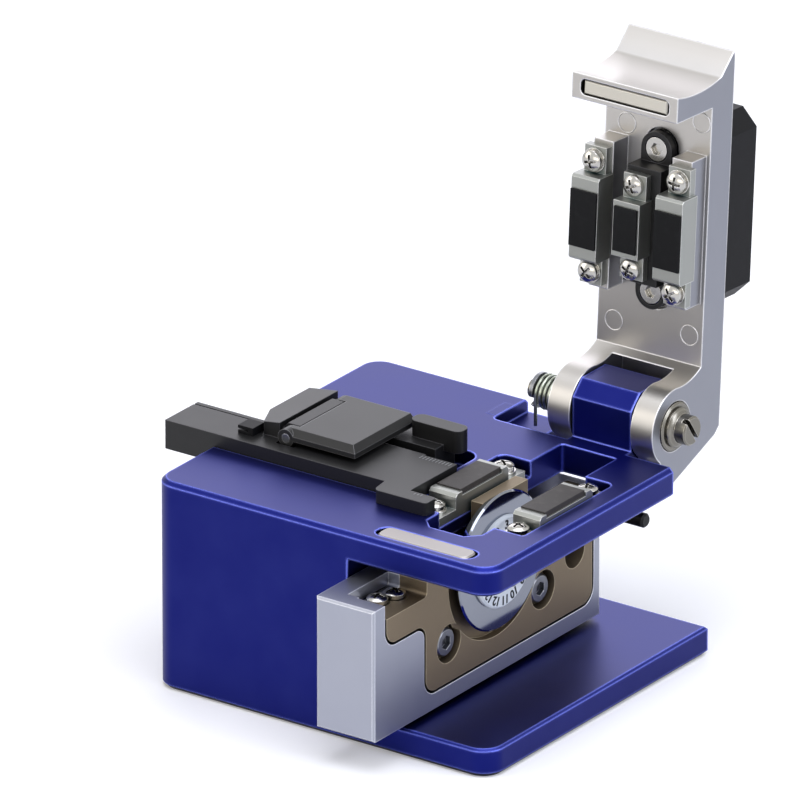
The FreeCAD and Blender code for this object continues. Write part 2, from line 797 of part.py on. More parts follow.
def lid_arm():
    side = lid_side()
    side.translate(V(cut_x - ear_out, 0, 0))
    shape = side.extrude(V(2 * ear_out, 0, 0))
    # gap between the ears, with the web left over it
    y0 = hinge_y - fork_reach
    shape = cut(shape, box(cut_x - ear_in, cut_x + ear_in, y0, hinge_y + tail_y + 1,
                           hinge_z - ear_r - 1, hinge_z + web_h))
    # rails that carry the side pads
    for side_sign in (-1, 1):
        a = cut_x + side_sign * (ear_out - rail_out)
        b = a - side_sign * rail_w
        rail = box(min(a, b), max(a, b), anvil_y - rail_l / 2, anvil_y + rail_l / 2,
                   lid_face - rail_h, lid_face + 0.5)
        shape = fuse(shape, rail)
    # magnet slot in the lip, bores
    y = hinge_y - (lip_front + lip_back) / 2
    z = hinge_z - lip_drop
    shape = cut(shape, slab(cut_x - magnet_l / 2 - 0.5, cut_x + magnet_l / 2 + 0.5,
                            y - magnet_w / 2, y + magnet_w / 2, z - 1, z + magnet_h, 0.9))
    shape = cut(shape, rod(pin_r + fit, cut_x - 20, hinge_y, hinge_z, 40, V(1, 0, 0)))
    shape = cut(shape, rod(hinge_washer_r + fit, cut_x + ear_out - hinge_washer_t, hinge_y,
                           hinge_z, 3, V(1, 0, 0)))
    for side_sign in (-1, 1):
        for y in pad_screw_y():
            shape = cut(shape, rod(screw_r + fit, cut_x + side_sign * anvil_pitch / 2, y,
                                   lid_face - rail_h - 1, 4.5, V(0, 0, 1)))
    for y in bracket_places():
        shape = cut(shape, rod(spring_pocket_r, cut_x, y, lid_face - 1, spring_pocket_d + 1,
                               V(0, 0, 1)),
                    rod(shoulder_r + fit, cut_x, y, lid_face, shoulder_deep + 0.2, V(0, 0, 1)))
    for y in cover_screw_places():
        shape = cut(shape, rod(screw_r + fit, cut_x, y, lid_top - cover_screw_deep - 0.2, 4,
                               V(0, 0, 1)))
    return shape


def pad_screw_y():
    return [anvil_y - pad_screw_pitch / 2, anvil_y + pad_screw_pitch / 2]


def bracket_places():
    return [anvil_y - bracket_pitch / 2, anvil_y + bracket_pitch / 2]


def lid_magnet():
    y = hinge_y - (lip_front + lip_back) / 2
    z = hinge_z - lip_drop
    magnet = box(cut_x - magnet_l / 2, cut_x + magnet_l / 2, y - magnet_w / 2 + 0.1,
                 y + magnet_w / 2 - 0.1, z + 0.1, z + magnet_h)
    return magnet.makeChamfer(0.3, edges_at(magnet, lambda p: near(p.z, z + 0.1)))


def pad_holder(side):
    """Steel block under the lid's rail that holds one clamping rubber."""
    x = cut_x + side * anvil_pitch / 2
    half = pad_w / 2
    top = lid_face - rail_h
    low = pad_face + pad_proud
    foot = box(x - half + 0.5, x + half - 0.5, anvil_y - pad_flange / 2, anvil_y + pad_flange / 2,
               top - pad_flange_t, top)
    block = box(x - half, x + half, anvil_y - pad_block / 2, anvil_y + pad_block / 2, low, top)
    block = block.makeChamfer(0.4, edges_at(block, lambda p: near(p.z, low)
                                            and near(abs(p.y - anvil_y), pad_block / 2)))
    shape = fuse(foot, block)
    shape = cut(shape, box(x - pad_rubber_w / 2, x + pad_rubber_w / 2,
                           anvil_y - pad_rubber_l / 2, anvil_y + pad_rubber_l / 2,
                           low - 1, pad_face + pad_rubber_t))
    for y in pad_screw_y():
        shape = cut(shape, rod(screw_r + fit, x, y, top - 3, 4, V(0, 0, 1)))
    return shape


def pad_rubber(x, width, length):
    return box(x - width / 2, x + width / 2, anvil_y - length / 2, anvil_y + length / 2,
               pad_face, pad_face + pad_rubber_t)


def pad_fittings():
    seat = lid_face - rail_h - pad_flange_t
    spots = [(cut_x + side * anvil_pitch / 2, y) for side in (-1, 1) for y in pad_screw_y()]
    down = V(0, 0, -1)
    add("lid_pad_washers", *[opened(placed(ring(washer_r, screw_r + fit, washer_t), x, y, seat,
                                           down)) for x, y in spots])
    screw = pan_screw(washer_t + pad_flange_t + 2.6)
    add("lid_pad_screws", *[opened(placed(screw, x, y, seat - washer_t, down, 20 + 31 * i))
                            for i, (x, y) in enumerate(spots)])


# ---------------------------------------------------------------- sprung centre pad
def centre_bracket():
    low = bracket_top - bracket_t
    mid_low = bracket_top - bracket_mid_t
    bar = box(cut_x - bracket_w / 2, cut_x + bracket_w / 2, anvil_y - bracket_pitch / 2,
              anvil_y + bracket_pitch / 2, low, bracket_top)
    middle = box(cut_x - bracket_w / 2, cut_x + bracket_w / 2, anvil_y - centre_flange / 2,
                 anvil_y + centre_flange / 2, mid_low, bracket_top)
    shape = fuse(bar, middle)
    for y in bracket_places():
        shape = fuse(shape, rod(bracket_eye_r, cut_x, y, low, bracket_t, V(0, 0, 1)))
    for y in bracket_places():
        shape = cut(shape, rod(shoulder_r + 0.1, cut_x, y, low - 1, bracket_t + 2, V(0, 0, 1)),
                    rod(shoulder_head_r + 0.2, cut_x, y, low - 1, shoulder_head_h + 1.1,
                        V(0, 0, 1)))
    for y in centre_screw_y():
        shape = cut(shape, rod(screw_r + fit, cut_x, y, mid_low - 1, 3.5, V(0, 0, 1)))
    return shape


def centre_screw_y():
    return [anvil_y - centre_screw_pitch / 2, anvil_y + centre_screw_pitch / 2]


def centre_pad():
    """Steel block with the breaking rubber."""
    top = bracket_top - bracket_mid_t
    low = pad_face + pad_proud
    half = centre_w / 2
    foot = box(cut_x - half + 0.3, cut_x + half - 0.3, anvil_y - centre_flange / 2,
               anvil_y + centre_flange / 2, top - 1.2, top)
    block = box(cut_x - half, cut_x + half, anvil_y - centre_block / 2 + 0.8,
                anvil_y + centre_block / 2 - 0.8, low, top)
    shape = fuse(foot, block)
    shape = cut(shape, box(cut_x - half + 0.3, cut_x + half - 0.3, anvil_y - centre_rubber_l / 2,
                           anvil_y + centre_rubber_l / 2, low - 1, pad_face + pad_rubber_t))
    for y in centre_screw_y():
        shape = cut(shape, rod(screw_r + fit, cut_x, y, top - 3, 4, V(0, 0, 1)))
    return shape


def centre_fittings():
    down = V(0, 0, -1)
    seat = bracket_top - bracket_mid_t - 1.2
    screw = pan_screw(3.4)
    add("centre_pad_screws", *[opened(placed(screw, cut_x, y, seat, down, 10 + 40 * i))
                               for i, y in enumerate(centre_screw_y())])
    seat = bracket_top - bracket_t + shoulder_head_h
    shoulder = socket_screw(shoulder_head_r, shoulder_head_h, shoulder_r,
                            lid_face - seat + shoulder_deep, 1.15)
    add("shoulder_screws", *[opened(placed(shoulder, cut_x, y, seat, down))
                             for y in bracket_places()])
    springs = []
    for y in bracket_places():
        rise = float_gap + spring_pocket_d - float_travel - 2 * float_wire_r - 0.15
        spring = coil(float_coil_r, 2 * float_wire_r, rise, float_coil_turns)
        springs.append(opened(placed(spring, cut_x, y, bracket_top + float_wire_r + 0.02)))
    add("pressure_springs", *springs)


# ---------------------------------------------------------------- cover on the lid
def lid_cover():
    x0, x1 = cut_x - ear_out + cover_inset, cut_x + ear_out - cover_inset
    y0, y1 = cover_y - cover_l / 2, cover_y + cover_l / 2
    z1 = lid_top + cover_h
    shell = box(x0, x1, y0, y1, lid_top, z1)
    shell = shell.makeChamfer(cover_cut, along(shell, V(0, 0, 1)))
    shell = shell.makeChamfer(1.2, edges_at(shell, lambda p: near(p.z, z1)))
    hollow = box(x0 + cover_wall, x1 - cover_wall, y0 + cover_wall, y1 - cover_wall, lid_top - 1,
                 z1 - cover_wall)
    hollow = hollow.makeChamfer(cover_cut, along(hollow, V(0, 0, 1)))
    shell = cut(shell, hollow)
    for y in cover_screw_places():
        post = rod(2.0, cut_x, y, lid_top, cover_h - 0.5, V(0, 0, 1))
        shell = fuse(shell, post)
    for y in cover_screw_places():
        shell = cut(shell, rod(screw_r + fit, cut_x, y, lid_top - 1, cover_h + 2, V(0, 0, 1)),
                    rod(head_r + 0.2, cut_x, y, z1 - head_h, 3, V(0, 0, 1)))
    return shell


def cover_screw_places():
    return [cover_y - cover_screw_pitch / 2, cover_y + cover_screw_pitch / 2]


# ---------------------------------------------------------------- hinge fittings
def hinge_fittings():
    x0 = cut_x - ear_out - spring_l - clip_t - 1.4
    x1 = cut_x + ear_out
    shaft = rod(pin_r, x0, hinge_y, hinge_z, x1 - x0 + 0.1, V(1, 0, 0))
    head = Part.makeCylinder(hinge_head_r, hinge_head_h)
    head = head.makeFillet(hinge_head_h * 0.55, edges_at(head, lambda p: near(p.z, hinge_head_h)))
    head = cut(head, box(-5, 5, -0.4, 0.4, hinge_head_h - 1.1, hinge_head_h + 1))
    head = placed(head, x1 + 0.1, hinge_y, hinge_z, V(1, 0, 0), 58)
    sleeve_x = cut_x - ear_out - 0.2 - spring_l
    groove = placed(ring(pin_r + 1, pin_r - clip_groove, clip_t + 0.1), sleeve_x - clip_t - 0.15,
                    hinge_y, hinge_z, V(1, 0, 0))
    add("hinge_screw", cut(fuse(shaft, head), groove))
    washer = ring(hinge_washer_r, pin_r + fit, hinge_washer_t)
    add("hinge_washer", placed(washer, x1 - hinge_washer_t, hinge_y, hinge_z, V(1, 0, 0)))
    bush = ring(pin_r + bush_t, pin_r + fit, boss_w)
    add("hinge_bush", placed(bush, cut_x - boss_w / 2, hinge_y, hinge_z, V(1, 0, 0)))
    sleeve = ring(spring_r - spring_wire / 2 - 0.15, pin_r, spring_l)
    add("spring_sleeve", placed(sleeve, sleeve_x, hinge_y, hinge_z, V(1, 0, 0)))
    clip = cut(ring(pin_r + 1.3, pin_r - clip_groove, clip_t), box(-0.9, 0.9, 0, 4, -1, clip_t + 1))
    add("hinge_clip", placed(clip, sleeve_x - clip_t - 0.1, hinge_y, hinge_z, V(1, 0, 0), 200))
    add("torsion_spring", torsion_spring(sleeve_x + 0.4))


def torsion_spring(x):
    """Coil round the sleeve, one leg down into the frame, the other up beside the ear."""
    span = spring_l - 0.9
    winding = coil(spring_r, spring_wire, span, spring_turns)
    winding = placed(winding, x, hinge_y, hinge_z, V(1, 0, 0))
    # legs leave the coil's two ends along its tangents
    turn = FreeCAD.Rotation(V(0, 0, 1), V(1, 0, 0))
    out = turn.multVec(V(1, 0, 0))
    tangent = turn.multVec(V(0, 1, 0))
    foot = V(x, hinge_y, hinge_z).add(out.multiply(spring_r))
    leg = Part.makeCylinder(spring_wire / 2, 4.2, foot, V(-tangent.x, -tangent.y, -tangent.z))
    tip = Part.makeCylinder(spring_wire / 2, 4.6, V(foot.x + span, foot.y, foot.z), tangent)
    return fuse(winding, leg, tip)


# ---------------------------------------------------------------- fibre holder
def holder_base():
    x0 = left - arm_out
    arm = box(x0, arm_end + 1, holder_y0, holder_y0 + arm_w, holder_floor, holder_top)
    main = box(arm_end, holder_x1, holder_y0, holder_y1, holder_floor, holder_top)
    head_z = body_h + 0.05
    head = box(head_x0, head_x1, head_y0, head_y1, head_z, head_z + head_t)
    ledge = box(head_x0 - 1, head_x1 + 1, head_y1 - 3.0, head_y1 + 1,
                head_z + head_t - head_step, head_z + head_t + 1)
    shape = fuse(arm, main, cut(head, ledge))
    fence = slab(fence_x0, fence_x1, holder_y1 - fence_w, holder_y1, holder_floor,
                 holder_top + fence_h, 1.3)
    block = box(clamp_pin_x - hinge_block_l / 2, clamp_pin_x + hinge_block_l / 2,
                clamp_y0 + clamp_ear_w + 0.3, clamp_y1 - clamp_ear_w - 0.3, holder_top - 1,
                clamp_z + clamp_t)
    shape = fuse(shape, fence, rounded_block(block), bridge())
    # seat for the coated fibre and room for the clamp's ears
    shape = cut(shape, box(arm_end - 1, fence_x1 + 1, fibre_y - groove_w / 2,
                           fibre_y + groove_w / 2, holder_top - groove_d, holder_top + 1))
    shape = cut(shape, box(arm_end - 1, clamp_pin_x + hinge_block_l, fibre_y - groove_w / 2,
                           fibre_y + groove_w / 2, holder_top - groove_d, holder_top + 0.9))
    for y in ear_places():
        shape = cut(shape, box(clamp_pin_x - clamp_ear_r - 0.3, clamp_pin_x + clamp_ear_r + 0.3,
                               y - 0.3, y + clamp_ear_w + 0.3,
                               clamp_pin_z - clamp_ear_r - 0.3, holder_top + 1))
    shape = cut(shape, rod(clamp_pin_r, clamp_pin_x, clamp_y0, clamp_pin_z,
                           clamp_y1 - clamp_y0, V(0, 1, 0)))
    for x in magnet_places():
        shape = cut(shape, rod(magnet_r + fit, x, holder_y0 + arm_w / 2, holder_floor - 1,
                               magnet_t + 1, V(0, 0, 1)))
    return shape.makeChamfer(0.3, edges_at(shape, lambda p: near(p.x, x0)))


def rounded_block(block):
    top = clamp_z + clamp_t
    return block.makeFillet(1.3, [e for e in along(block, V(0, 1, 0))
                                  if near(e.Vertexes[0].Point.z, top)])


def bridge():
    """Sloping strap over the cable, behind the clamp's hinge."""
    x1 = clamp_pin_x - hinge_block_l / 2 - 0.3
    x0 = x1 - bridge_l
    top = clamp_z + clamp_t
    outline = [(x0, holder_top - 1), (x1, holder_top - 1), (x1, top - 0.3),
               (x0, top - bridge_fall)]
    strap = prism_y(outline, bridge_y0, holder_y1)
    return strap.makeChamfer(0.4, edges_at(strap, lambda p: near(p.x, x0)
                                           and p.z > holder_top))


def ear_places():
    return (clamp_y0, clamp_y1 - clamp_ear_w)


def magnet_places():
    return [left + 9.0, -5.0]


def holder_clamp():
    """Clamp plate with bevelled front and free end, on two ears round its pins."""
    z0 = clamp_z
    z1 = z0 + clamp_t
    x0 = clamp_pin_x + hinge_block_l / 2 + 0.3
    plate = box(x0, clamp_x1, clamp_y0, clamp_y1, z0, z1)

    def rim(p):
        return near(p.z, z1) and (near(p.y, clamp_y0) or near(p.x, clamp_x1))
    plate = plate.makeChamfer(clamp_bevel, edges_at(plate, rim))
    shape = plate
    for y in ear_places():
        ear = rod(clamp_ear_r, clamp_pin_x, y, clamp_pin_z, clamp_ear_w, V(0, 1, 0))
        arm = box(clamp_pin_x, x0 + 1, y, y + clamp_ear_w, z0, z0 + clamp_t - clamp_bevel + 0.1)
        shape = fuse(shape, ear, arm)
    shape = cut(shape, rod(clamp_pin_r + fit, clamp_pin_x, clamp_y0 - 1, clamp_pin_z,
                           clamp_y1 - clamp_y0 + 2, V(0, 1, 0)))
    x = pad_start()
    return cut(shape, box(x, x + clamp_pad_l, fibre_y - clamp_pad_w / 2,
                          fibre_y + clamp_pad_w / 2, z0 - 1, z0 + clamp_pad_in))


def pad_start():
    return clamp_x1 - 1.6 - clamp_pad_l


def clamp_pad():
    x = pad_start()
    z = clamp_z + clamp_pad_in
    return box(x, x + clamp_pad_l, fibre_y - clamp_pad_w / 2, fibre_y + clamp_pad_w / 2,
               z - clamp_pad_t, z)


def holder_fittings():
    reach = clamp_ear_w + 0.3 + 1.8
    add("clamp_pins",
        rod(clamp_pin_r, clamp_pin_x, clamp_y0, clamp_pin_z, reach, V(0, 1, 0)),
        rod(clamp_pin_r, clamp_pin_x, clamp_y1 - reach, clamp_pin_z, reach, V(0, 1, 0)))
    y = holder_y0 + arm_w / 2
    add("holder_magnets", *[rod(magnet_r, x, y, holder_floor, magnet_t, V(0, 0, 1))
                            for x in magnet_places()])
    x0 = arm_end + 1.0
    y0 = holder_y0 - latch_out
    block = box(x0, x0 + latch_l, y0, y0 + latch_w, holder_top, holder_top + latch_h)
    slit = box(x0 - 1, x0 + latch_l - 0.8, y0 - 1, y0 + latch_w + 1, holder_top + 0.6,
               holder_top + 0.85)
    add("holder_latch", cut(block, slit))
    add("clamp_pad", clamp_pad())


# ---------------------------------------------------------------- all parts
add("body_frame", body_frame())
add("base_pad", base_pad())
add("strike_strip", strike_strip())
add("slide_rail", slide_rail())
add("slide_bearing", slide_bearing())
guide_screws()
add("carriage_body", carriage_body())
add("carriage_plate", carriage_plate())
carriage_fittings()
add("blade", blade())
add("blade_dial", blade_dial())
blade_fittings()
add("anvil_left", anvil(-1))
add("anvil_right", anvil(1))
add("anvil_rubber_left", anvil_rubber(-1))
add("anvil_rubber_right", anvil_rubber(1))
anvil_fittings()
add("lid_arm", opened(lid_arm()))
add("lid_magnet", opened(lid_magnet()))
add("lid_pad_left", opened(pad_holder(-1)))
add("lid_pad_right", opened(pad_holder(1)))
add("lid_rubber_left", opened(pad_rubber(cut_x - anvil_pitch / 2, pad_rubber_w, pad_rubber_l)))
add("lid_rubber_right", opened(pad_rubber(cut_x + anvil_pitch / 2, pad_rubber_w, pad_rubber_l)))
pad_fittings()
add("centre_bracket", opened(centre_bracket()))
add("centre_pad", opened(centre_pad()))
add("centre_rubber", opened(pad_rubber(cut_x, centre_w - 0.6, centre_rubber_l)))
centre_fittings()
add("lid_cover", opened(lid_cover()))
cover_screw = pan_screw(cover_h - head_h + cover_screw_deep)
add("cover_screws", *[opened(placed(cover_screw, cut_x, y, lid_top + cover_h - head_h))
                      for y in cover_screw_places()])
hinge_fittings()
add("holder_base", holder_base())
add("holder_clamp", holder_clamp())
holder_fittings()

os.makedirs("parts", exist_ok=True)
for name, shape in parts.items():
    shape.exportStep("parts/" + name + ".step")
print(len(parts), "parts written")
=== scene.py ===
import bpy
import bmesh
import math
from mathutils import Matrix, Vector


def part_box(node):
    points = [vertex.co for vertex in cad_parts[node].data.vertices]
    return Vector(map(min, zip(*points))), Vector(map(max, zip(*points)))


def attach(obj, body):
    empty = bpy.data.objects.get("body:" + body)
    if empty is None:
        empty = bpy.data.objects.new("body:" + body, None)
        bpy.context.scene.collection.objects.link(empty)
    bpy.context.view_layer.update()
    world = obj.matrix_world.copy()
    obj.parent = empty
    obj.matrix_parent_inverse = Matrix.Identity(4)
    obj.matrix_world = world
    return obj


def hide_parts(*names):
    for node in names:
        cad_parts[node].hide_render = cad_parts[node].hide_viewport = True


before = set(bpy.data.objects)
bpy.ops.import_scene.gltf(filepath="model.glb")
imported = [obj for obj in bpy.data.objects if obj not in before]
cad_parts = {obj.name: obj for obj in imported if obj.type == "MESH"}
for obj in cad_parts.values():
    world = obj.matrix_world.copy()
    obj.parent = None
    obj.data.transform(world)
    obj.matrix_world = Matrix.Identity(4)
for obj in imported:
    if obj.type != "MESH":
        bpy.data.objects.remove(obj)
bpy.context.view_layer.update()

MM = 0.001

# ---- camera and studio ----
# A long lens from the tool's right front, a little above it, over a pale bench top.
# Soft boxes stand above, behind and at the sides, as round a small product in a studio.
AZIMUTH = math.radians(35.2)
ELEVATION = math.radians(23.0)
DISTANCE = 2.744
AIM = Vector((0.0, -8.25, 47.9)) * MM

outward = Vector((math.sin(AZIMUTH) * math.cos(ELEVATION),
                  -math.cos(AZIMUTH) * math.cos(ELEVATION),
                  math.sin(ELEVATION)))
camera = bpy.data.objects.new("camera", bpy.data.cameras.new("camera"))
camera.data.sensor_width = 36.0
camera.data.lens = 810.0
camera.data.clip_start = 0.1
camera.data.clip_end = 20.0
camera.location = AIM + outward * DISTANCE
camera.rotation_euler = (-outward).to_track_quat("-Z", "Y").to_euler()
bpy.context.scene.collection.objects.link(camera)
bpy.context.scene.camera = camera
bpy.context.scene.view_settings.view_transform = "Standard"


def linear(code):
    """sRGB hex code to the linear colour that a shader socket takes."""
    channels = [int(code[i:i + 2], 16) / 255 for i in (1, 3, 5)]
    return tuple(c / 12.92 if c <= 0.04045 else ((c + 0.055) / 1.055) ** 2.4
                 for c in channels) + (1.0,)


def node(tree, kind, sockets=None, **settings):
    """Adds a node with its settings; sockets maps an input to a value or a node's output."""
    made = tree.nodes.new(kind)
    for key, value in settings.items():
        setattr(made, key, value)
    for key, value in (sockets or {}).items():
        if isinstance(value, bpy.types.NodeSocket):
            tree.links.new(value, made.inputs[key])
        else:
            made.inputs[key].default_value = value
    return made


def soft_box(name, place, aim, size, power, colour="#ffffff"):
    lamp = bpy.data.lights.new(name, "AREA")
    lamp.shape = "RECTANGLE"
    lamp.size, lamp.size_y = size
    lamp.energy = power
    lamp.color = linear(colour)[:3]
    holder = bpy.data.objects.new(name, lamp)
    holder.location = Vector(place)
    holder.rotation_euler = (Vector(aim) - Vector(place)).to_track_quat("-Z", "Y").to_euler()
    bpy.context.scene.collection.objects.link(holder)


soft_box("top_box", (0.1, -0.1, 0.75), (0, 0, 0.04), (0.7, 0.7), 4.6, "#f4f6ff")
soft_box("left_box", (-0.7, -0.55, 0.35), (0, 0, 0.04), (0.5, 0.6), 2.2, "#fff8ee")
soft_box("right_box", (0.8, 0.1, 0.45), (0, 0, 0.05), (0.4, 0.7), 3.6, "#eef2ff")
soft_box("back_box", (-0.46, 0.66, 0.36), (0, 0, 0.04), (0.8, 0.5), 1.8, "#f4f2ff")
soft_box("front_box", (0.25, -0.9, 0.28), (0, 0, 0.05), (0.7, 0.3), 1.4, "#fff6ea")

world = bpy.data.worlds.new("studio_air")
world.use_nodes = True
bpy.context.scene.world = world
air = world.node_tree
air.nodes.clear()
rays = node(air, "ShaderNodeLightPath")
seen = node(air, "ShaderNodeMath", {0: rays.outputs["Is Camera Ray"],
                                    1: rays.outputs["Is Glossy Ray"]}, operation="MAXIMUM")
seen = node(air, "ShaderNodeMath", {0: seen.outputs[0], 1: rays.outputs["Is Transmission Ray"]},
            operation="MAXIMUM")
dim = node(air, "ShaderNodeBackground", {"Color": linear("#e8ecf2"), "Strength": 0.35})
bright = node(air, "ShaderNodeBackground", {"Color": linear("#ffffff"), "Strength": 1.0})
blend = node(air, "ShaderNodeMixShader", {0: seen.outputs[0], 1: dim.outputs[0],
                                          2: bright.outputs[0]})
node(air, "ShaderNodeOutputWorld", {"Surface": blend.outputs[0]})

bench = bpy.data.meshes.new("bench")
bench.from_pydata([(-4, -4, 0), (4, -4, 0), (4, 4, 0), (-4, 4, 0)], [], [(0, 1, 2, 3)])
bench_top = bpy.data.objects.new("bench_top", bench)
bpy.context.scene.collection.objects.link(bench_top)
paper = bpy.data.materials.new("pale_bench_paper")
paper.use_nodes = True
tree = paper.node_tree
tree.nodes.clear()
sheet = node(tree, "ShaderNodeBsdfPrincipled", {"Base Color": linear("#f7f7f7"), "Roughness": 0.8,
                                                "Specular IOR Level": 0.2})
rays = node(tree, "ShaderNodeLightPath")
glow = node(tree, "ShaderNodeEmission", {"Color": linear("#ffffff"), "Strength": 0.16})
both = node(tree, "ShaderNodeAddShader", {0: sheet.outputs[0], 1: glow.outputs[0]})
shown = node(tree, "ShaderNodeMixShader", {0: rays.outputs["Is Camera Ray"], 1: sheet.outputs[0],
                                           2: both.outputs[0]})
node(tree, "ShaderNodeOutputMaterial", {"Surface": shown.outputs[0]})
bench.materials.append(paper)

# ---- frame block ----
# One piece of aluminium, milled from solid, blasted with fine beads and anodised blue.
# The blasting leaves a silky grain; the broken edges get a pale painted highlight and the hollows a
# dark painted shade.


def dress(name, material):
    """Gives a solid of the frame its finish."""
    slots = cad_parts[name].material_slots
    for slot in slots:
        slot.link = "OBJECT"
        slot.material = material


def blasted(tree, grain_mm, depth_mm, edge_mm):
    """Grain over softened edges, as the shader's normal; drawn coarser than real bead marks."""
    place = node(tree, "ShaderNodeTexCoord")
    grain = node(tree, "ShaderNodeTexNoise", {"Vector": place.outputs["Object"],
                                              "Scale": 1000 / grain_mm, "Detail": 3.0})
    edge = node(tree, "ShaderNodeBevel", {"Radius": edge_mm * MM}, samples=6)
    bump = node(tree, "ShaderNodeBump", {"Height": grain.outputs["Fac"], "Strength": 0.5,
                                         "Distance": depth_mm * MM,
                                         "Normal": edge.outputs["Normal"]})
    return place, bump.outputs["Normal"]


def rubbed_edges(tree, reach_mm, low, high):
    """How near a corner is, from 0 on the flat to 1 on an edge: the share of painted highlight
    there.
    """
    edge = node(tree, "ShaderNodeBevel", {"Radius": reach_mm * MM}, samples=8)
    shape = node(tree, "ShaderNodeNewGeometry")
    turn = node(tree, "ShaderNodeVectorMath", {0: edge.outputs["Normal"],
                                               1: shape.outputs["True Normal"]},
                operation="DOT_PRODUCT")
    near = node(tree, "ShaderNodeMapRange", {"Value": turn.outputs["Value"], "From Min": low,
                                             "From Max": high, "To Min": 0.0, "To Max": 1.0})
    return near.outputs["Result"]


def hollows(tree, reach_mm, start, end):
    """How deep in a recess the surface lies, from 0 in the open to 1 in a narrow gap: the share of
    painted shade there.
    """
    shade = node(tree, "ShaderNodeAmbientOcclusion", {"Distance": reach_mm * MM}, samples=6)
    deep = node(tree, "ShaderNodeMapRange", {"Value": shade.outputs["AO"], "From Min": start,
                                             "From Max": end, "To Min": 0.0, "To Max": 1.0})
    return deep.outputs["Result"]


FACTOR, FIRST, SECOND, BLENDED = 0, 6, 7, 2     # sockets of a colour mix


def metal(name, body, pale, grain_mm, depth_mm, edge_mm, metallic, roughness, highlight_share=1.0,
          hollow_shade="#050506", hollow_shade_mm=1.5, side=None, coat=0.0):
    """A metal finish in two near shades, with a pale painted highlight on its edges and a dark
    painted shade in its hollows.
    """
    made = bpy.data.materials.new(name)
    made.use_nodes = True
    tree = made.node_tree
    tree.nodes.clear()
    place, normal = blasted(tree, grain_mm, depth_mm, edge_mm)
    # slow change of shade, about 7 mm across
    cloud = node(tree, "ShaderNodeTexNoise", {"Vector": place.outputs["Object"], "Scale": 140.0,
                                              "Detail": 4.0})
    shade = node(tree, "ShaderNodeMapRange", {"Value": cloud.outputs["Fac"], "From Min": 0.3,
                                              "From Max": 0.7, "To Min": 0.0, "To Max": 0.02})
    flat = linear(body)
    # faces turned along x take the side colour, a painted shade on the sides
    if side:
        split = node(tree, "ShaderNodeSeparateXYZ", {0: place.outputs["Normal"]})
        lean = node(tree, "ShaderNodeMath", {0: split.outputs["X"]}, operation="ABSOLUTE")
        side_shade_mask = node(tree, "ShaderNodeMapRange", {"Value": lean.outputs[0], "From Min": 0.4,
                                                   "From Max": 0.8, "To Min": 0.0, "To Max": 1.0})
        side_shaded = node(tree, "ShaderNodeMix", {FACTOR: side_shade_mask.outputs["Result"], FIRST: flat,
                                                SECOND: linear(side)}, data_type="RGBA")
        flat = side_shaded.outputs[BLENDED]
    tint = node(tree, "ShaderNodeMix", {FACTOR: shade.outputs["Result"], FIRST: flat,
                                        SECOND: linear(pale)}, data_type="RGBA")
    # painted highlight: near an edge the colour is mixed towards the pale one
    highlight_amount = node(tree, "ShaderNodeMath", {0: rubbed_edges(tree, edge_mm * 1.6, 0.995, 0.9), 1: highlight_share},
               operation="MULTIPLY")
    highlight_amount.use_clamp = True
    highlighted = node(tree, "ShaderNodeMix", {FACTOR: highlight_amount.outputs[0], FIRST: tint.outputs[BLENDED],
                                          SECOND: linear(pale)}, data_type="RGBA")
    # painted shade: deep in a recess the colour is mixed towards the dark hollow colour
    with_painted_shade = node(tree, "ShaderNodeMix", {FACTOR: hollows(tree, hollow_shade_mm, 0.55, 0.12),
                                          FIRST: highlighted.outputs[BLENDED],
                                          SECOND: linear(hollow_shade)}, data_type="RGBA")
    rough = node(tree, "ShaderNodeMapRange", {"Value": cloud.outputs["Fac"], "From Min": 0.3,
                                              "From Max": 0.7, "To Min": roughness - 0.01,
                                              "To Max": roughness + 0.015})
    skin = node(tree, "ShaderNodeBsdfPrincipled", {"Base Color": with_painted_shade.outputs[BLENDED],
                                                   "Metallic": metallic,
                                                   "Roughness": rough.outputs["Result"],
                                                   "Coat Weight": coat, "Coat Roughness": 0.35,
                                                   "Normal": normal, "Coat Normal": normal})
    node(tree, "ShaderNodeOutputMaterial", {"Surface": skin.outputs[0]})
    return made


def form(rings):
    """A closed mesh through a stack of outlines, each a list of points in millimetres."""
    shape = bmesh.new()
    loops = [[shape.verts.new(Vector(point) * MM) for point in ring] for ring in rings]
    shape.faces.new(loops[0])
    shape.faces.new(loops[-1])
    for low, high in zip(loops, loops[1:]):
        for i in range(len(low)):
            j = (i + 1) % len(low)
            shape.faces.new((low[i], low[j], high[j], high[i]))
    bmesh.ops.recalc_face_normals(shape, faces=shape.faces)
    mesh = bpy.data.meshes.new("form")
    shape.to_mesh(mesh)
    shape.free()
    return mesh


def prism(outline, low, high, axis=2):
    """An outline of point pairs pushed along an axis: 0 is x, 1 is y, 2 is z."""
    def at(a, b, h):
        return ((h, a, b), (a, h, b), (a, b, h))[axis]
    return form([[at(a, b, h) for a, b in outline] for h in (low, high)])


def block(x0, x1, y0, y1, z0, z1):
    return prism([(x0, y0), (x1, y0), (x1, y1), (x0, y1)], z0, z1)


def arc(x, y, radius, start, end, steps=8):
    """Points on an arc, with its angles in degrees."""
    turns = [math.radians(start + (end - start) * i / steps) for i in range(steps + 1)]
    return [(x + radius * math.cos(t), y + radius * math.sin(t)) for t in turns]


def rounded(x0, x1, y0, y1, radius):
    """Outline of a rectangle with round corners."""
    return (arc(x0 + radius, y0 + radius, radius, 180, 270)
            + arc(x1 - radius, y0 + radius, radius, 270, 360)
            + arc(x1 - radius, y1 - radius, radius, 0, 90)
            + arc(x0 + radius, y1 - radius, radius, 90, 180))


def disc(a, b, radius, low, high, axis=2):
    return prism(arc(a, b, radius, 0, 352.5, 47), low, high, axis)


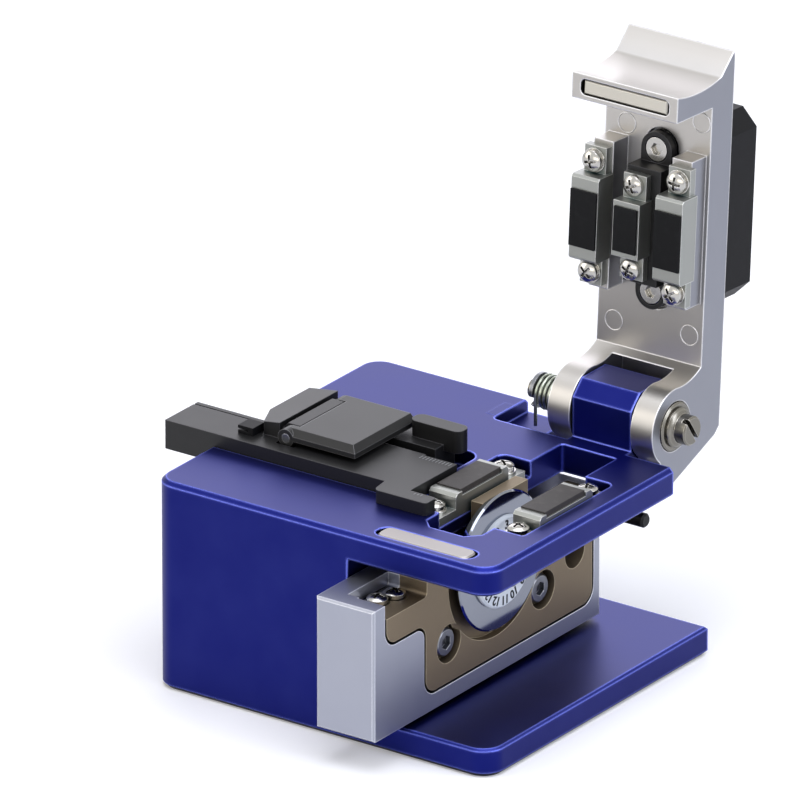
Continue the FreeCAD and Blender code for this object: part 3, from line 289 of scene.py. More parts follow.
def carve(mesh, adds=(), cuts=()):
    """Joins closed meshes to a first one, cuts others out and returns one plain mesh."""
    stock = bpy.data.objects.new("stock", mesh)
    bpy.context.scene.collection.objects.link(stock)
    tools = []
    for kind, forms in (("UNION", adds), ("DIFFERENCE", cuts)):
        for shape in forms:
            tool = bpy.data.objects.new("tool", shape)
            bpy.context.scene.collection.objects.link(tool)
            tools.append(tool)
            step = stock.modifiers.new("step", "BOOLEAN")
            step.operation = kind
            step.solver = "EXACT"
            step.object = tool
    done = stock.evaluated_get(bpy.context.evaluated_depsgraph_get())
    result = bpy.data.meshes.new_from_object(done)
    for spare in tools + [stock]:
        bpy.data.objects.remove(spare)
    return result


def merged(name):
    """A copy of a frame solid's mesh with its loose triangles joined."""
    shape = bmesh.new()
    shape.from_mesh(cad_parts[name].data)
    bmesh.ops.remove_doubles(shape, verts=shape.verts, dist=1e-6)
    mesh = bpy.data.meshes.new(name + "_copy")
    shape.to_mesh(mesh)
    shape.free()
    if "custom_normal" in mesh.attributes:
        mesh.attributes.remove(mesh.attributes["custom_normal"])
    return mesh


def shade(mesh):
    """Shades curved faces smooth and leaves the broad flat ones flat."""
    shape = bmesh.new()
    shape.from_mesh(mesh)
    shape.normal_update()
    seen = set()
    for first in shape.faces:
        if first in seen:
            continue
        group, edge = [], [first]
        seen.add(first)
        while edge:
            face = edge.pop()
            group.append(face)
            for side in face.edges:
                for other in side.link_faces:
                    if other not in seen and other.normal.dot(first.normal) > 0.99995:
                        seen.add(other)
                        edge.append(other)
        points = [vert.co for face in group for vert in face.verts]
        reach = max(max(p[i] for p in points) - min(p[i] for p in points) for i in range(3))
        broad = sum(face.calc_area() for face in group) > 1.6 * MM * reach
        for face in group:
            face.smooth = not broad
    shape.to_mesh(mesh)
    shape.free()
    mesh.set_sharp_from_angle(angle=math.radians(32))


def piece(name, mesh, material, body, stands_for=()):
    """Puts a finished mesh into the scene, on its body."""
    mesh.materials.clear()
    mesh.materials.append(material)
    mesh.polygons.foreach_set("material_index", [0] * len(mesh.polygons))
    shade(mesh)
    made = bpy.data.objects.new(name, mesh)
    bpy.context.scene.collection.objects.link(made)
    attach(made, body)
    if stands_for:
        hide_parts(*stands_for)
    return made


blue_anodised = metal("blue_anodised_aluminium", "#0c166a", "#7f8cf8", grain_mm=0.12,
                      depth_mm=0.006, edge_mm=0.42, metallic=1.0, roughness=0.42, highlight_share=0.9,
                      hollow_shade="#02030f", hollow_shade_mm=4.0, coat=0.14)
frame_top = 34.6
cut_x = 17.2
anvil_y = -3.35
frame_right, frame_back = 31.5, 29.35


def base_corner(inset, z):
    """The base plate's square rear corner, cut back by its bevel."""
    x, y = frame_right - inset, frame_back - inset
    root_x, root_y = frame_right - 5, frame_back - 5
    return [(root_x, root_y, z), (x, root_y, z), (x, y, z), (root_x, y, z)]


square_corner = form([base_corner(0.7, 0), base_corner(0, 0.7), base_corner(0, 4.28),
                      base_corner(0.42, 4.7)])
filled_pocket = block(-4.3, 4.9, 20.9, 25.9, 30.2, frame_top + 0.02)
spring_bay = prism([(7, 19.65), (7, 31), (-2.3, 31)] + arc(-1.3, 20.65, 1, 180, 270), 32.4, 36)
anvil_bay = prism(rounded(cut_x - 10.45, cut_x + 10.45, -15.05, 9.3, 1.4), 32.0, 36)
piece("frame_block", carve(merged("body_frame"), [square_corner, filled_pocket],
                           [spring_bay, anvil_bay]),
      blue_anodised, "frame", ["body_frame"])

# ---- rubber sheet under the frame ----
# Thin nitrile sheet, die cut and glued into the recess milled in the frame's bottom.
# It keeps the tool from sliding; its moulded face is matt and slightly dusty.


def rubber(name, body, dust, roughness, shine=0.3):
    """Rubber or plastic with a fine moulded grain and a trace of dust."""
    made = bpy.data.materials.new(name)
    made.use_nodes = True
    tree = made.node_tree
    tree.nodes.clear()
    place, normal = blasted(tree, 0.2, 0.01, 0.15)
    # specks of dust about 1 mm apart
    specks = node(tree, "ShaderNodeTexNoise", {"Vector": place.outputs["Object"], "Scale": 900.0,
                                               "Detail": 2.0})
    amount = node(tree, "ShaderNodeMapRange", {"Value": specks.outputs["Fac"], "From Min": 0.5,
                                               "From Max": 0.8, "To Min": 0.0, "To Max": 0.5})
    dusty = node(tree, "ShaderNodeMix", {FACTOR: amount.outputs["Result"], FIRST: linear(body),
                                         SECOND: linear(dust)}, data_type="RGBA")
    skin = node(tree, "ShaderNodeBsdfPrincipled", {"Base Color": dusty.outputs[BLENDED],
                                                   "Roughness": roughness,
                                                   "Specular IOR Level": shine,
                                                   "Normal": normal})
    node(tree, "ShaderNodeOutputMaterial", {"Surface": skin.outputs[0]})
    return made


dress("base_pad", rubber("nitrile_sheet", "#17171a", "#2c2c2e", roughness=0.7))

# ---- steel strip for the lid's magnet ----
# Ground steel bar with round ends, pressed into its slot in the top of the frame.
# It is what the magnet in the lid's lip takes hold of; the grinding leaves it satin.
ground_steel = metal("ground_steel", "#999593", "#dedbd8", grain_mm=0.25, depth_mm=0.004,
                     edge_mm=0.12, metallic=0.9, roughness=0.42)
dress("strike_strip", ground_steel)

# ---- linear guide ----
# Hardened and ground rail on the slot's wall, with the short bearing block that runs on it.
# Black oxide socket screws fix both, and two pins stop the travel.
hard_steel = metal("hardened_rail_steel", "#7f8186", "#b9bbbf", grain_mm=0.3, depth_mm=0.003,
                   edge_mm=0.1, metallic=1.0, roughness=0.28)
black_oxide = metal("black_oxide_steel", "#141416", "#4a4a4e", grain_mm=0.2, depth_mm=0.004,
                    edge_mm=0.1, metallic=0.7, roughness=0.42)
dress("slide_rail", hard_steel)
dress("slide_bearing", hard_steel)
dress("travel_stops", hard_steel)
dress("rail_screws", black_oxide)
dress("bearing_screws", black_oxide)

# ---- carriage ----
# Aluminium bar that slides along the slot and carries the blade under the fibre.
# It is milled, blasted and clear anodised, which gives a silky silver; its edges get a bright
# painted highlight.
silver_anodised = metal("silver_anodised_aluminium", "#a3a6b2", "#e9ebf2", grain_mm=0.12,
                        depth_mm=0.005, edge_mm=0.2, metallic=1.0, roughness=0.42)
dress("carriage_body", silver_anodised)

# ---- inlaid plate ----
# Aluminium plate let into the carriage's side and held by two button screws.
# Hard anodising gives it its brown bronze shade. A black oxide pin stands out beside it.
bronze_anodised = metal("bronze_hard_anodised", "#7d705d", "#b5a88f", grain_mm=0.1, depth_mm=0.006,
                        edge_mm=0.15, metallic=0.8, roughness=0.5)
dress("carriage_plate", bronze_anodised)
dress("plate_screws", hard_steel)
dress("return_pin", black_oxide)

# ---- pan-head screws ----
# Small nickel-plated screws with a cross recess that hold anvils, pads and the carriage's end.
# The head is turned, domed and punched; each sits at its own angle, as it was tightened.
bright_nickel = metal("nickel_plated_steel", "#b9b7b2", "#f0efec", grain_mm=0.4, depth_mm=0.002,
                      edge_mm=0.08, metallic=1.0, roughness=0.2, highlight_share=0.8, hollow_shade="#0b0b0c",
                      hollow_shade_mm=0.9)


def inputs(tree, sockets):
    """Named inputs of a geometry tree, and its one output."""
    for label, (kind, value) in sockets.items():
        made = tree.interface.new_socket(label, in_out="INPUT", socket_type="NodeSocket" + kind)
        if value is not None:
            made.default_value = value
    tree.interface.new_socket("Geometry", in_out="OUTPUT", socket_type="NodeSocketGeometry")


def grown(mesh, tree, values):
    """The plain mesh that a geometry tree makes of a carrier mesh."""
    carrier = bpy.data.objects.new("carrier", mesh)
    bpy.context.scene.collection.objects.link(carrier)
    growth = carrier.modifiers.new("growth", "NODES")
    growth.node_group = tree
    for item in tree.interface.items_tree:
        if item.item_type == "SOCKET" and item.name in values:
            growth[item.identifier] = values[item.name]
    done = carrier.evaluated_get(bpy.context.evaluated_depsgraph_get())
    result = bpy.data.meshes.new_from_object(done)
    bpy.data.objects.remove(carrier)
    return result


def spots(places):
    """Carrier points, each with the way it faces and its turn in degrees."""
    mesh = bpy.data.meshes.new("spots")
    mesh.from_pydata([Vector(place) * MM for place, _, _ in places], [], [])
    mesh.attributes.new("facing", "FLOAT_VECTOR", "POINT")
    mesh.attributes.new("spin", "FLOAT", "POINT")
    for i, (_, way, turn) in enumerate(places):
        mesh.attributes["facing"].data[i].vector = way
        mesh.attributes["spin"].data[i].value = math.radians(turn)
    return mesh


def set_on_points(tree, points, shape, material):
    """Sets a shape on every point, turned by its facing and spin, as one plain mesh."""
    facing = node(tree, "GeometryNodeInputNamedAttribute", {"Name": "facing"},
                  data_type="FLOAT_VECTOR")
    spin = node(tree, "GeometryNodeInputNamedAttribute", {"Name": "spin"}, data_type="FLOAT")
    aim = node(tree, "FunctionNodeAlignRotationToVector",
               {"Vector": facing.outputs["Attribute"]}, axis="Z")
    twist = node(tree, "FunctionNodeAxisAngleToRotation", {"Axis": (0.0, 0.0, 1.0),
                                                           "Angle": spin.outputs["Attribute"]})
    turn = node(tree, "FunctionNodeRotateRotation", {"Rotation": aim.outputs[0],
                                                     "Rotate By": twist.outputs[0]},
                rotation_space="LOCAL")
    copies = node(tree, "GeometryNodeInstanceOnPoints", {"Points": points, "Instance": shape,
                                                         "Rotation": turn.outputs[0]})
    whole = node(tree, "GeometryNodeRealizeInstances", {"Geometry": copies.outputs[0]})
    painted = node(tree, "GeometryNodeSetMaterial", {"Geometry": whole.outputs[0],
                                                     "Material": material})
    node(tree, "NodeGroupOutput", {"Geometry": painted.outputs[0]})


def lifted(tree, shape, height):
    """A shape moved up by a height."""
    rise = node(tree, "ShaderNodeCombineXYZ", {"Z": height})
    return node(tree, "GeometryNodeTransform", {"Geometry": shape,
                                                "Translation": rise.outputs[0]}).outputs[0]


DOME_SHARE, RECESS_SHARE = 1.22, 1.3     # dome radius and recess length, by head radius
screw_tree = bpy.data.node_groups.new("pan_head_screw", "GeometryNodeTree")
inputs(screw_tree, {"Geometry": ("Geometry", None), "Head radius": ("Float", 0.0017),
                    "Head height": ("Float", 0.0013), "Shank radius": ("Float", 0.0008),
                    "Shank length": ("Float", 0.003), "Recess": ("Float", 0.00045),
                    "Material": ("Material", None)})
given = node(screw_tree, "NodeGroupInput").outputs
rim = node(screw_tree, "GeometryNodeMeshCylinder", {"Vertices": 40, "Radius": given["Head radius"],
                                                    "Depth": given["Head height"]})
half_head = node(screw_tree, "ShaderNodeMath", {0: given["Head height"], 1: 0.5},
                 operation="MULTIPLY")
rim = lifted(screw_tree, rim.outputs["Mesh"], half_head.outputs[0])
dome_radius = node(screw_tree, "ShaderNodeMath", {0: given["Head radius"], 1: DOME_SHARE},
                   operation="MULTIPLY")
ball = node(screw_tree, "GeometryNodeMeshUVSphere", {"Segments": 40, "Rings": 24,
                                                     "Radius": dome_radius.outputs[0]})
squash = node(screw_tree, "ShaderNodeMath", {0: given["Head height"], 1: dome_radius.outputs[0]},
              operation="DIVIDE")
flat_ball = node(screw_tree, "ShaderNodeCombineXYZ", {"X": 1.0, "Y": 1.0, "Z": squash.outputs[0]})
ball = node(screw_tree, "GeometryNodeTransform", {"Geometry": ball.outputs["Mesh"],
                                                  "Scale": flat_ball.outputs[0]})
dome = node(screw_tree, "GeometryNodeMeshBoolean", {"Mesh 2": rim}, operation="INTERSECT",
            solver="EXACT")
screw_tree.links.new(ball.outputs[0], dome.inputs["Mesh 2"])
recess_length = node(screw_tree, "ShaderNodeMath", {0: given["Head radius"], 1: RECESS_SHARE},
                     operation="MULTIPLY").outputs[0]
bars = []
for first, second in ((recess_length, given["Recess"]), (given["Recess"], recess_length)):
    size = node(screw_tree, "ShaderNodeCombineXYZ", {"X": first, "Y": second,
                                                     "Z": given["Head height"]})
    bar = node(screw_tree, "GeometryNodeMeshCube", {"Size": size.outputs[0]})
    bars.append(lifted(screw_tree, bar.outputs["Mesh"], given["Head height"]))
punched = node(screw_tree, "GeometryNodeMeshBoolean", {"Mesh 1": dome.outputs["Mesh"],
                                                       "Mesh 2": bars[0]},
               operation="DIFFERENCE", solver="EXACT")
screw_tree.links.new(bars[1], punched.inputs["Mesh 2"])
shank = node(screw_tree, "GeometryNodeMeshCylinder", {"Vertices": 20,
                                                      "Radius": given["Shank radius"],
                                                      "Depth": given["Shank length"]})
half_shank = node(screw_tree, "ShaderNodeMath", {0: given["Shank length"], 1: -0.5},
                  operation="MULTIPLY")
shank = lifted(screw_tree, shank.outputs["Mesh"], half_shank.outputs[0])
whole_screw = node(screw_tree, "GeometryNodeJoinGeometry", {"Geometry": punched.outputs["Mesh"]})
screw_tree.links.new(shank, whole_screw.inputs["Geometry"])
set_on_points(screw_tree, given["Geometry"], whole_screw.outputs[0], given["Material"])

HINGE = Vector((0, 26.65, 38.0))
SWING = Matrix.Rotation(math.radians(-93.5), 4, "X")
UP, DOWN = Vector((0, 0, 1)), Vector((0, 0, -1))


def swung(place):
    """A point of the shut lid, carried to where the open lid has it."""
    return SWING @ (Vector(place) - HINGE) + HINGE


def screws(name, places, length, body, stands_for):
    mesh = grown(spots(places), screw_tree, {"Shank length": length * MM,
                                             "Material": bright_nickel})
    piece(name, mesh, bright_nickel, body, stands_for)


anvil_x = (9.4, 25.0)
screws("anvil_screw_set", [((x, anvil_y + y, 33.8), UP, 20 + 31 * i) for i, (x, y) in
                           enumerate((x, y) for x in anvil_x for y in (-9.2, 9.2))],
       2.5, "frame", ["anvil_screws"])
tilted = SWING @ DOWN
screws("pad_screw_set", [(swung((x, anvil_y + y, 38.9)), tilted, 12 + 37 * i) for i, (x, y) in
                         enumerate((x, y) for x in anvil_x for y in (-9.0, 9.0))],
       3.5, "lid", ["lid_pad_screws"])
screws("centre_screw_set", [(swung((cut_x, anvil_y + y, 38.8)), tilted, 20 + 50 * i)
                            for i, y in enumerate((-6.8, 6.8))], 3.0, "centre",
       ["centre_pad_screws"])
low, high = (Vector(corner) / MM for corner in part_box("carriage_top_screws"))
seat = high.z - 1.3
screws("carriage_screw_set", [((low.x + 1.7, low.y + 1.7, seat), UP, 10),
                              ((high.x - 1.7, high.y - 1.7, seat), UP, 62)],
       3.0, "carriage", ["carriage_top_screws"])

# ---- blade ----
# Tungsten carbide disc, ground and lapped to a mirror, with a fine bevel at its edge.
# It turns on a steel axle with a spacer behind it, and a screw clamps it where it is set.
lapped_carbide = metal("lapped_carbide", "#878b95", "#e8eaee", grain_mm=0.8, depth_mm=0.0004,
                       edge_mm=0.05, metallic=1.0, roughness=0.07, highlight_share=0.3)
dress("blade", lapped_carbide)
dress("blade_axle", hard_steel)
dress("blade_spacer", hard_steel)
dress("blade_clamp_screw", hard_steel)

# ---- dial ring ----
# White acetal ring fixed to the blade, turned with it to bring a fresh part to the fibre.
# Plain numbers for the parts of the edge are printed round it in near-black ink.
acetal = rubber("white_acetal", "#d4dbe4", "#f4f7fa", roughness=0.42)
dress("blade_dial", acetal)
ink = rubber("printing_ink", "#1a1c22", "#2c2e36", roughness=0.6)
dial_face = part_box("blade_dial")[1][0] / MM
BLADE_Y, BLADE_Z = -5.75, 24.6
NUMBERS = 16
number_ring = bmesh.new()
for number in range(1, NUMBERS + 1):
    letter = bpy.data.curves.new("number", "FONT")
    letter.body = str(number)
    letter.size = 2.0 * MM
    letter.align_x = "CENTER"
    letter.align_y = "CENTER"
    letter.extrude = 0.03 * MM
    letter.offset = 0.05 * MM
    written = bpy.data.objects.new("number", letter)
    bpy.context.scene.collection.objects.link(written)
    mesh = bpy.data.meshes.new_from_object(
        written.evaluated_get(bpy.context.evaluated_depsgraph_get()))
    turn = math.radians(-92 + (11 - number) * 360 / NUMBERS)
    upright = Matrix(((0, 0, 1, 0), (1, 0, 0, 0), (0, 1, 0, 0), (0, 0, 0, 1)))
    spun = Matrix.Rotation(turn - math.radians(90), 4, "X")
    out = Vector((dial_face + 0.03, BLADE_Y + 6.1 * math.cos(turn), BLADE_Z + 6.1 * math.sin(turn)))
    mesh.transform(Matrix.Translation(out * MM) @ spun @ upright)
    number_ring.from_mesh(mesh)
    bpy.data.objects.remove(written)
numbers = bpy.data.meshes.new("dial_numbers")
number_ring.to_mesh(numbers)
number_ring.free()
piece("dial_numbers", numbers, ink, "blade")

# ---- anvils ----
# Small ground steel blocks beside the blade, held by pan-head screws with washers.
# Each has a bonded polyurethane pad on which the fibre is clamped.
# deep in its hollows the colour is painted a dark teal
pad_steel = metal("ground_pad_steel", "#9a9c98", "#d8d9d6", grain_mm=0.25, depth_mm=0.004,
                  edge_mm=0.12, metallic=0.9, roughness=0.4, highlight_share=1.0, hollow_shade="#0c4a50", hollow_shade_mm=1.2)
dress("anvil_left", pad_steel)
dress("anvil_right", pad_steel)
clamp_rubber = rubber("polyurethane_pad", "#343130", "#4a4643", roughness=0.55)
lid_rubber = rubber("black_polyurethane_pad", "#0d0e10", "#18191b", roughness=0.5, shine=0.15)
dress("anvil_rubber_left", clamp_rubber)
dress("anvil_rubber_right", clamp_rubber)
dress("anvil_washers", bright_nickel)

# ---- lid arm ----
# Aluminium casting with ears, pad rails, lip and thumb tab, blasted and clear anodised.
# The inner face has a creamy colour, and the sides, which face along x, get a greyer painted shade.
# A recess and two bores take the sprung bracket, and a nickel-plated magnet lies in the lip.
lid_anodised = metal("satin_lid_aluminium", "#b9b6b2", "#ececee", grain_mm=0.15, depth_mm=0.004,
                     edge_mm=0.25, metallic=1.0, roughness=0.36, highlight_share=0.9, hollow_shade="#1a1a1c",
                     hollow_shade_mm=1.6, side="#8e9098")
lid_face = 44.6
bracket_x = 18.0
EYES = [anvil_y + y for y in (-11.6, 11.6)]


def stadium(x, radius, y0, y1):
    """Outline of a bar with fully round ends."""
    return arc(x, y0, radius, 180, 360, 16) + arc(x, y1, radius, 0, 180, 16)


def open_lid(mesh):
    """Carries a mesh that was drawn on the shut lid to the open lid."""
    mesh.transform(Matrix.Translation(HINGE * MM) @ SWING @ Matrix.Translation(-HINGE * MM))
    return mesh


eye_recess = open_lid(prism(stadium(bracket_x, 3.15, *EYES), lid_face - 1, lid_face + 1.1))
shoulder_bores = [open_lid(disc(bracket_x, y, 2.3, lid_face + 0.5, lid_face + 3.4)) for y in EYES]
shank_bores = [open_lid(disc(bracket_x, y, 1.35, lid_face + 3, lid_face + 4.3)) for y in EYES]
piece("lid_casting", carve(merged("lid_arm"), [], [eye_recess] + shoulder_bores + shank_bores),
      lid_anodised, "lid", ["lid_arm"])
nickel_magnet = metal("nickel_magnet", "#c9c5ba", "#eae6da", grain_mm=0.4, depth_mm=0.002,
                      edge_mm=0.1, metallic=0.75, roughness=0.35)
dress("lid_magnet", nickel_magnet)

# ---- ejector marks ----
# Faint raised rings that the mould's ejector pins leave on the casting's inner face.
# They are part of the casting, so they have its finish.
MARKS = [(25.1, -20.5), (11.4, -17.4), (10.5, 15.0), (24.5, 14.2)]
mark_tree = bpy.data.node_groups.new("ejector_marks", "GeometryNodeTree")
inputs(mark_tree, {"Geometry": ("Geometry", None), "Radius": ("Float", 0.0016),
                   "Line": ("Float", 0.00011), "Material": ("Material", None)})
given = node(mark_tree, "NodeGroupInput").outputs
circle = node(mark_tree, "GeometryNodeCurvePrimitiveCircle", {"Resolution": 40,
                                                              "Radius": given["Radius"]})
line = node(mark_tree, "GeometryNodeCurvePrimitiveCircle", {"Resolution": 8,
                                                            "Radius": given["Line"]})
bead = node(mark_tree, "GeometryNodeCurveToMesh", {"Curve": circle.outputs["Curve"],
                                                   "Profile Curve": line.outputs["Curve"]})
set_on_points(mark_tree, given["Geometry"], bead.outputs[0], given["Material"])
marks = [(swung((x, y, lid_face)), tilted, 0) for x, y in MARKS]
piece("ejector_marks", grown(spots(marks), mark_tree, {"Material": lid_anodised}), lid_anodised,
      "lid")

# ---- pads in the lid ----
# Ground steel blocks with bonded black polyurethane, screwed to the lid's two rails.
# They press the fibre on the anvils when the lid is shut.
dress("lid_pad_left", pad_steel)
dress("lid_pad_right", pad_steel)
dress("lid_rubber_left", lid_rubber)
dress("lid_rubber_right", lid_rubber)
dress("lid_pad_washers", bright_nickel)

# ---- sprung centre pad ----
# Black bracket that floats on two shoulder screws and springs and carries the breaking rubber.
# Its thin ends lie in a milled recess of the lid; the block between them stands well out.
black_anodised = metal("black_anodised_aluminium", "#19191a", "#4e4e52", grain_mm=0.15,
                       depth_mm=0.005, edge_mm=0.15, metallic=0.35, roughness=0.42, highlight_share=0.7)
tabs = prism(stadium(bracket_x, 2.8, *EYES), lid_face - 1.5, lid_face)
stem = block(bracket_x - 3.1, bracket_x + 3.1, anvil_y - 9.4, anvil_y + 9.4, 40.0, lid_face - 1)
head_wells = [disc(bracket_x, y, 2.1, lid_face - 3, lid_face - 0.6) for y in EYES]
shank_holes = [disc(bracket_x, y, 1.4, lid_face - 1, lid_face + 1) for y in EYES]
piece("floating_bracket", open_lid(carve(tabs, [stem], head_wells + shank_holes)),
      black_anodised, "centre", ["centre_bracket"])
dress("centre_pad", pad_steel)
dress("centre_rubber", lid_rubber)


def hexagon(x, y, radius):
    return arc(x, y, radius, 0, 300, 5)


shoulders = [carve(disc(bracket_x, y, 1.9, lid_face - 1.5, lid_face - 0.6),
                   [disc(bracket_x, y, 1.3, lid_face - 1, lid_face + 4.25)],
                   [prism(hexagon(bracket_x, y, 1.05), lid_face - 3, lid_face - 0.8)])
             for y in EYES]
both = bmesh.new()
for shoulder in shoulders:
    both.from_mesh(shoulder)
pair_of_screws = bpy.data.meshes.new("shoulder_pair")
both.to_mesh(pair_of_screws)
both.free()
piece("shoulder_screw_pair", open_lid(pair_of_screws), bright_nickel, "lid",
      ["shoulder_screws"])

# ---- pressure springs ----
# Two short coils of round music wire round the shoulder screws, in the lid's bores.
# They push the bracket down; the plating gives the wire a pale olive shine.
spring_wire = metal("spring_wire", "#a9b0a2", "#e3e8dc", grain_mm=0.3, depth_mm=0.003,
                    edge_mm=0.05, metallic=1.0, roughness=0.3)
coil_tree = bpy.data.node_groups.new("pressure_coil", "GeometryNodeTree")
inputs(coil_tree, {"Geometry": ("Geometry", None), "Coil radius": ("Float", 0.0018),
                   "Wire radius": ("Float", 0.0002), "Turns": ("Float", 2.0),
                   "Rise": ("Float", 0.0019), "Material": ("Material", None)})
given = node(coil_tree, "NodeGroupInput").outputs
path = node(coil_tree, "GeometryNodeCurveSpiral", {"Resolution": 24, "Rotations": given["Turns"],
                                                   "Start Radius": given["Coil radius"],
                                                   "End Radius": given["Coil radius"],
                                                   "Height": given["Rise"]})
wire = node(coil_tree, "GeometryNodeCurvePrimitiveCircle", {"Resolution": 10,
                                                            "Radius": given["Wire radius"]})
wound = node(coil_tree, "GeometryNodeCurveToMesh", {"Curve": path.outputs["Curve"],
                                                    "Profile Curve": wire.outputs["Curve"],
                                                    "Fill Caps": True})
set_on_points(coil_tree, given["Geometry"], wound.outputs[0], given["Material"])
seats = [(swung((bracket_x, y, lid_face + 0.25)), SWING @ UP, 0) for y in EYES]
piece("pressure_coils", grown(spots(seats), coil_tree, {"Material": spring_wire}), spring_wire,
      "centre", ["pressure_springs"])

# ---- cover on the lid ----
# Moulded black ABS housing on the lid's back, held by two black screws.
# The spark-eroded mould gives it a fine, low-gloss texture.
black_abs = rubber("black_abs", "#0c0c0f", "#15151a", roughness=0.5, shine=0.15)
dress("lid_cover", black_abs)
dress("cover_screws", black_oxide)

# ---- hinge ----
# Slotted nickel screw with a domed collar through boss and ears, a thick washer on the ear,
# nylon bushes, and a torsion spring of round wire held by a clip.
nylon = rubber("natural_nylon", "#cfd2c4", "#f0f0e6", roughness=0.4)
dark_nickel = metal("dark_nickel_plate", "#7b7870", "#bdb9b0", grain_mm=0.3, depth_mm=0.002,
                    edge_mm=0.1, metallic=1.0, roughness=0.26, highlight_share=0.9, hollow_shade="#0c0b0a", hollow_shade_mm=1.5)


def turned(profile):
    """A piece turned about the hinge's axis, from pairs of place along x and radius."""
    return form([[(x, y, z) for y, z in arc(HINGE.y, HINGE.z, radius, 0, 352.5, 47)]
                 for x, radius in profile])


slot_turn = Matrix.Translation(HINGE * MM) @ Matrix.Rotation(math.radians(-56), 4, "X")
slot = block(29.3, 31.0, -3, 3, -0.4, 0.4)
slot.transform(slot_turn)
ear_face = 26.95
screw = turned([(0.45, 1.5), (ear_face + 0.45, 1.5), (ear_face + 0.46, 3.2), (ear_face + 0.75, 3.2),
                (ear_face + 1.1, 2.95), (ear_face + 1.35, 2.5), (ear_face + 1.4, 2.35),
                (ear_face + 3.1, 2.35), (ear_face + 3.35, 2.1)])
piece("hinge_bolt", carve(screw, [], [slot]), dark_nickel, "frame", ["hinge_screw"])
piece("hinge_thick_washer", carve(turned([(ear_face - 0.68, 3.95), (ear_face + 0.15, 3.95),
                                          (ear_face + 0.4, 3.65)]), [],
                                  [turned([(ear_face - 2, 1.6), (ear_face + 2, 1.6)])]),
      dark_nickel, "lid", ["hinge_washer"])
dress("hinge_bush", nylon)
dress("spring_sleeve", nylon)
dress("hinge_clip", hard_steel)

TURNS, STEPS = 5, 24
COIL_RADIUS, WIRE_RADIUS = 2.6, 0.275
COIL_LEFT, COIL_RIGHT = 2.75, 6.75
front_side = HINGE.y - COIL_RADIUS
route = [(COIL_LEFT, front_side, 33.1), (COIL_LEFT, front_side, 35.6)]
for i in range(TURNS * STEPS + 1):
    around = 2 * math.pi * i / STEPS
    route.append((COIL_LEFT + (COIL_RIGHT - COIL_LEFT) * i / (TURNS * STEPS),
                  HINGE.y - COIL_RADIUS * math.cos(around),
                  HINGE.z + COIL_RADIUS * math.sin(around)))
route += [(COIL_RIGHT, front_side, 40.2), (COIL_RIGHT, front_side, 42.3)]
wire_curve = bpy.data.curves.new("spring_route", "CURVE")
wire_curve.dimensions = "3D"
wire_curve.bevel_depth = WIRE_RADIUS * MM
wire_curve.bevel_resolution = 3
wire_curve.use_fill_caps = True
thread = wire_curve.splines.new("POLY")
thread.points.add(len(route) - 1)
for point, place in zip(thread.points, route):
    point.co = (*(Vector(place) * MM), 1.0)
drawn = bpy.data.objects.new("spring_route", wire_curve)
bpy.context.scene.collection.objects.link(drawn)
spring_mesh = bpy.data.meshes.new_from_object(
    drawn.evaluated_get(bpy.context.evaluated_depsgraph_get()))
bpy.data.objects.remove(drawn)
piece("lid_spring", spring_mesh, spring_wire, "frame", ["torsion_spring"])

# ---- fibre holder ----
# Black anodised slip-in holder: an arm with magnets under it, a T-shaped head beside the anvil,
# a groove for the coated fibre, a fence behind it and a strap over the cable.
holder_top, holder_floor = 36.8, 32.0
CLAMP_X, CLAMP_Z = -19.3, 37.9
strap_outline = [(-26.85, -4.8), (-24.45, -9.8), (-21.45, -9.8), (-21.45, 5.6), (-26.85, 5.6)]
strap = form([[(x, y, holder_top - 0.5) for x, y in strap_outline],
              [(x, y, 39.4 + 0.8 * (x + 21.45) / 5.4) for x, y in strap_outline]])
head_outline = ([(6.5, -14.8), (6.5, -2.4), (-0.5, -2.4), (-0.5, -14), (1.2, -14)]
                + arc(2.6, -16.6, 1, 180, 270) + arc(10.8, -17.0, 0.6, 270, 360)
                + arc(10.8, -15.4, 0.6, 0, 90))
knuckle = disc(CLAMP_X, CLAMP_Z, 1.85, -9.0, 2.6, 1)
EARS = (-11.3, 2.9)
ear_wells = [block(CLAMP_X - 1.75, CLAMP_X + 1.75, y - 0.3, y + 2.3, 36.15, 38) for y in EARS]
holder = carve(block(-27, 0.5, -14, 5.6, holder_floor, holder_top),
               [block(-40.1, -26, -14, -5.4, holder_floor, holder_top),
                prism(head_outline, 34.65, holder_top),
                prism(rounded(-6, 3.5, 2.6, 5.6, 1.3), holder_top - 1, 39.5), strap, knuckle,
                block(-21.6, -17.5, -9.0, 2.6, holder_top - 1, 37.9),
                block(-21.6, CLAMP_X, -9.0, 2.6, holder_top - 1, 38.4)],
               [block(-42, -26.9, -6.5, -6.2, 36.55, 38), block(-30, 4.5, -2, 0.4, 35.1, 37.7),
                block(-16, 4.5, -2, 0.4, 35.1, 38), block(-22, -16, -12, 6, 39.4, 41)]
               + ear_wells + [disc(x, -9.7, 2.25, 31, 33.6) for x in (-22.5, -5.0)])
piece("holder_body", holder, black_anodised, "frame", ["holder_base"])

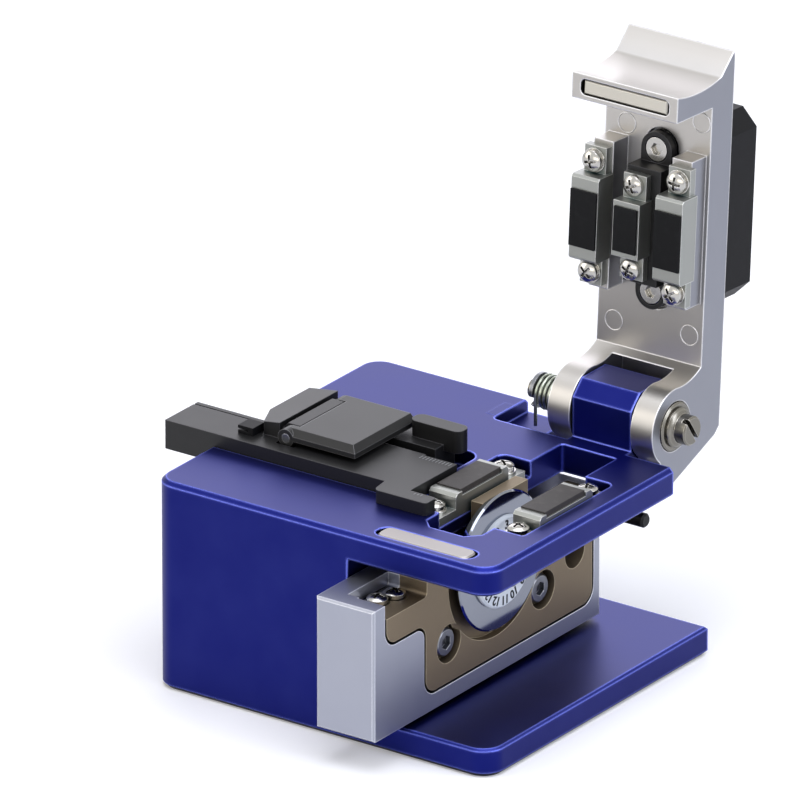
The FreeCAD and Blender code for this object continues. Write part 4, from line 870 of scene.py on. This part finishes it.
# ---- scale on the holder ----
# Two short rows of lines engraved beside the groove and filled with grey paint.
# They are for setting the cut length, so they are evenly spaced.
scale_paint = rubber("scale_paint", "#8d8f90", "#b4b6b7", roughness=0.6)
tick_tree = bpy.data.node_groups.new("scale_lines", "GeometryNodeTree")
inputs(tick_tree, {"Count": ("Int", 9), "Start": ("Vector", (0, 0, 0)),
                   "Step": ("Vector", (0.0006, 0, 0)),
                   "Line": ("Vector", (0.00014, 0.0011, 0.00004)),
                   "Material": ("Material", None)})
given = node(tick_tree, "NodeGroupInput").outputs
row = node(tick_tree, "GeometryNodeMeshLine", {"Count": given["Count"],
                                               "Start Location": given["Start"],
                                               "Offset": given["Step"]}, mode="OFFSET")
mark = node(tick_tree, "GeometryNodeMeshCube", {"Size": given["Line"]})
lines = node(tick_tree, "GeometryNodeInstanceOnPoints", {"Points": row.outputs["Mesh"],
                                                         "Instance": mark.outputs["Mesh"]})
whole = node(tick_tree, "GeometryNodeRealizeInstances", {"Geometry": lines.outputs[0]})
painted = node(tick_tree, "GeometryNodeSetMaterial", {"Geometry": whole.outputs[0],
                                                      "Material": given["Material"]})
node(tick_tree, "NodeGroupOutput", {"Geometry": painted.outputs[0]})
rows = {"scale_by_groove": {"Count": 10, "Start": [0.0004, -0.0032, 0.0368]},
        "scale_by_strip": {"Count": 3, "Start": [0.0078, -0.0154, 0.0368],
                           "Line": [0.00014, 0.0006, 0.00004]}}
for name, sizes in rows.items():
    mesh = grown(bpy.data.meshes.new("row"), tick_tree, {"Material": scale_paint, **sizes})
    piece(name, mesh, scale_paint, "frame")

# ---- clamp on the holder ----
# Bevelled black plate that swings on two pins and presses a rubber on the fibre's coating.
# Its edges get a paler painted highlight, and a small moulded latch lies beside it.
clamp_front, clamp_back, clamp_right = -11.3, 4.9, -6.3
clamp_stack = [(37.6, 0), (38.4, 0), (39.4, 1)]     # height, inset of the bevelled sides
plate = form([[(CLAMP_X, clamp_front + inset, z), (clamp_right - inset, clamp_front + inset, z),
               (clamp_right - inset, clamp_back, z), (CLAMP_X, clamp_back, z)]
              for z, inset in clamp_stack])
clamp = carve(plate, [disc(CLAMP_X, CLAMP_Z, 1.45, y, y + 2, 1) for y in EARS],
              [disc(CLAMP_X, CLAMP_Z, 2.0, -9.3, 2.9, 1), disc(CLAMP_X, CLAMP_Z, 0.75, -13, 7, 1),
               block(-15.9, -7.9, -3.1, 1.5, 36, 38.2)])
clamp_black = metal("black_anodised_edge_highlight", "#232323", "#6a6a6c", grain_mm=0.15, depth_mm=0.005,
                    edge_mm=0.15, metallic=0.4, roughness=0.4, highlight_share=0.8)
piece("clamp_plate", clamp, clamp_black, "clamp", ["holder_clamp"])
dress("clamp_pad", clamp_rubber)
dress("clamp_pins", hard_steel)
dress("holder_magnets", nickel_magnet)
latch = carve(block(-28.05, -25.25, -11.6, -8.6, holder_top - 0.02, 38.1), [],
              [block(-29, -26.1, -13, -7, 37.3, 37.6)])
piece("cable_latch", latch, black_abs, "frame", ["holder_latch"])
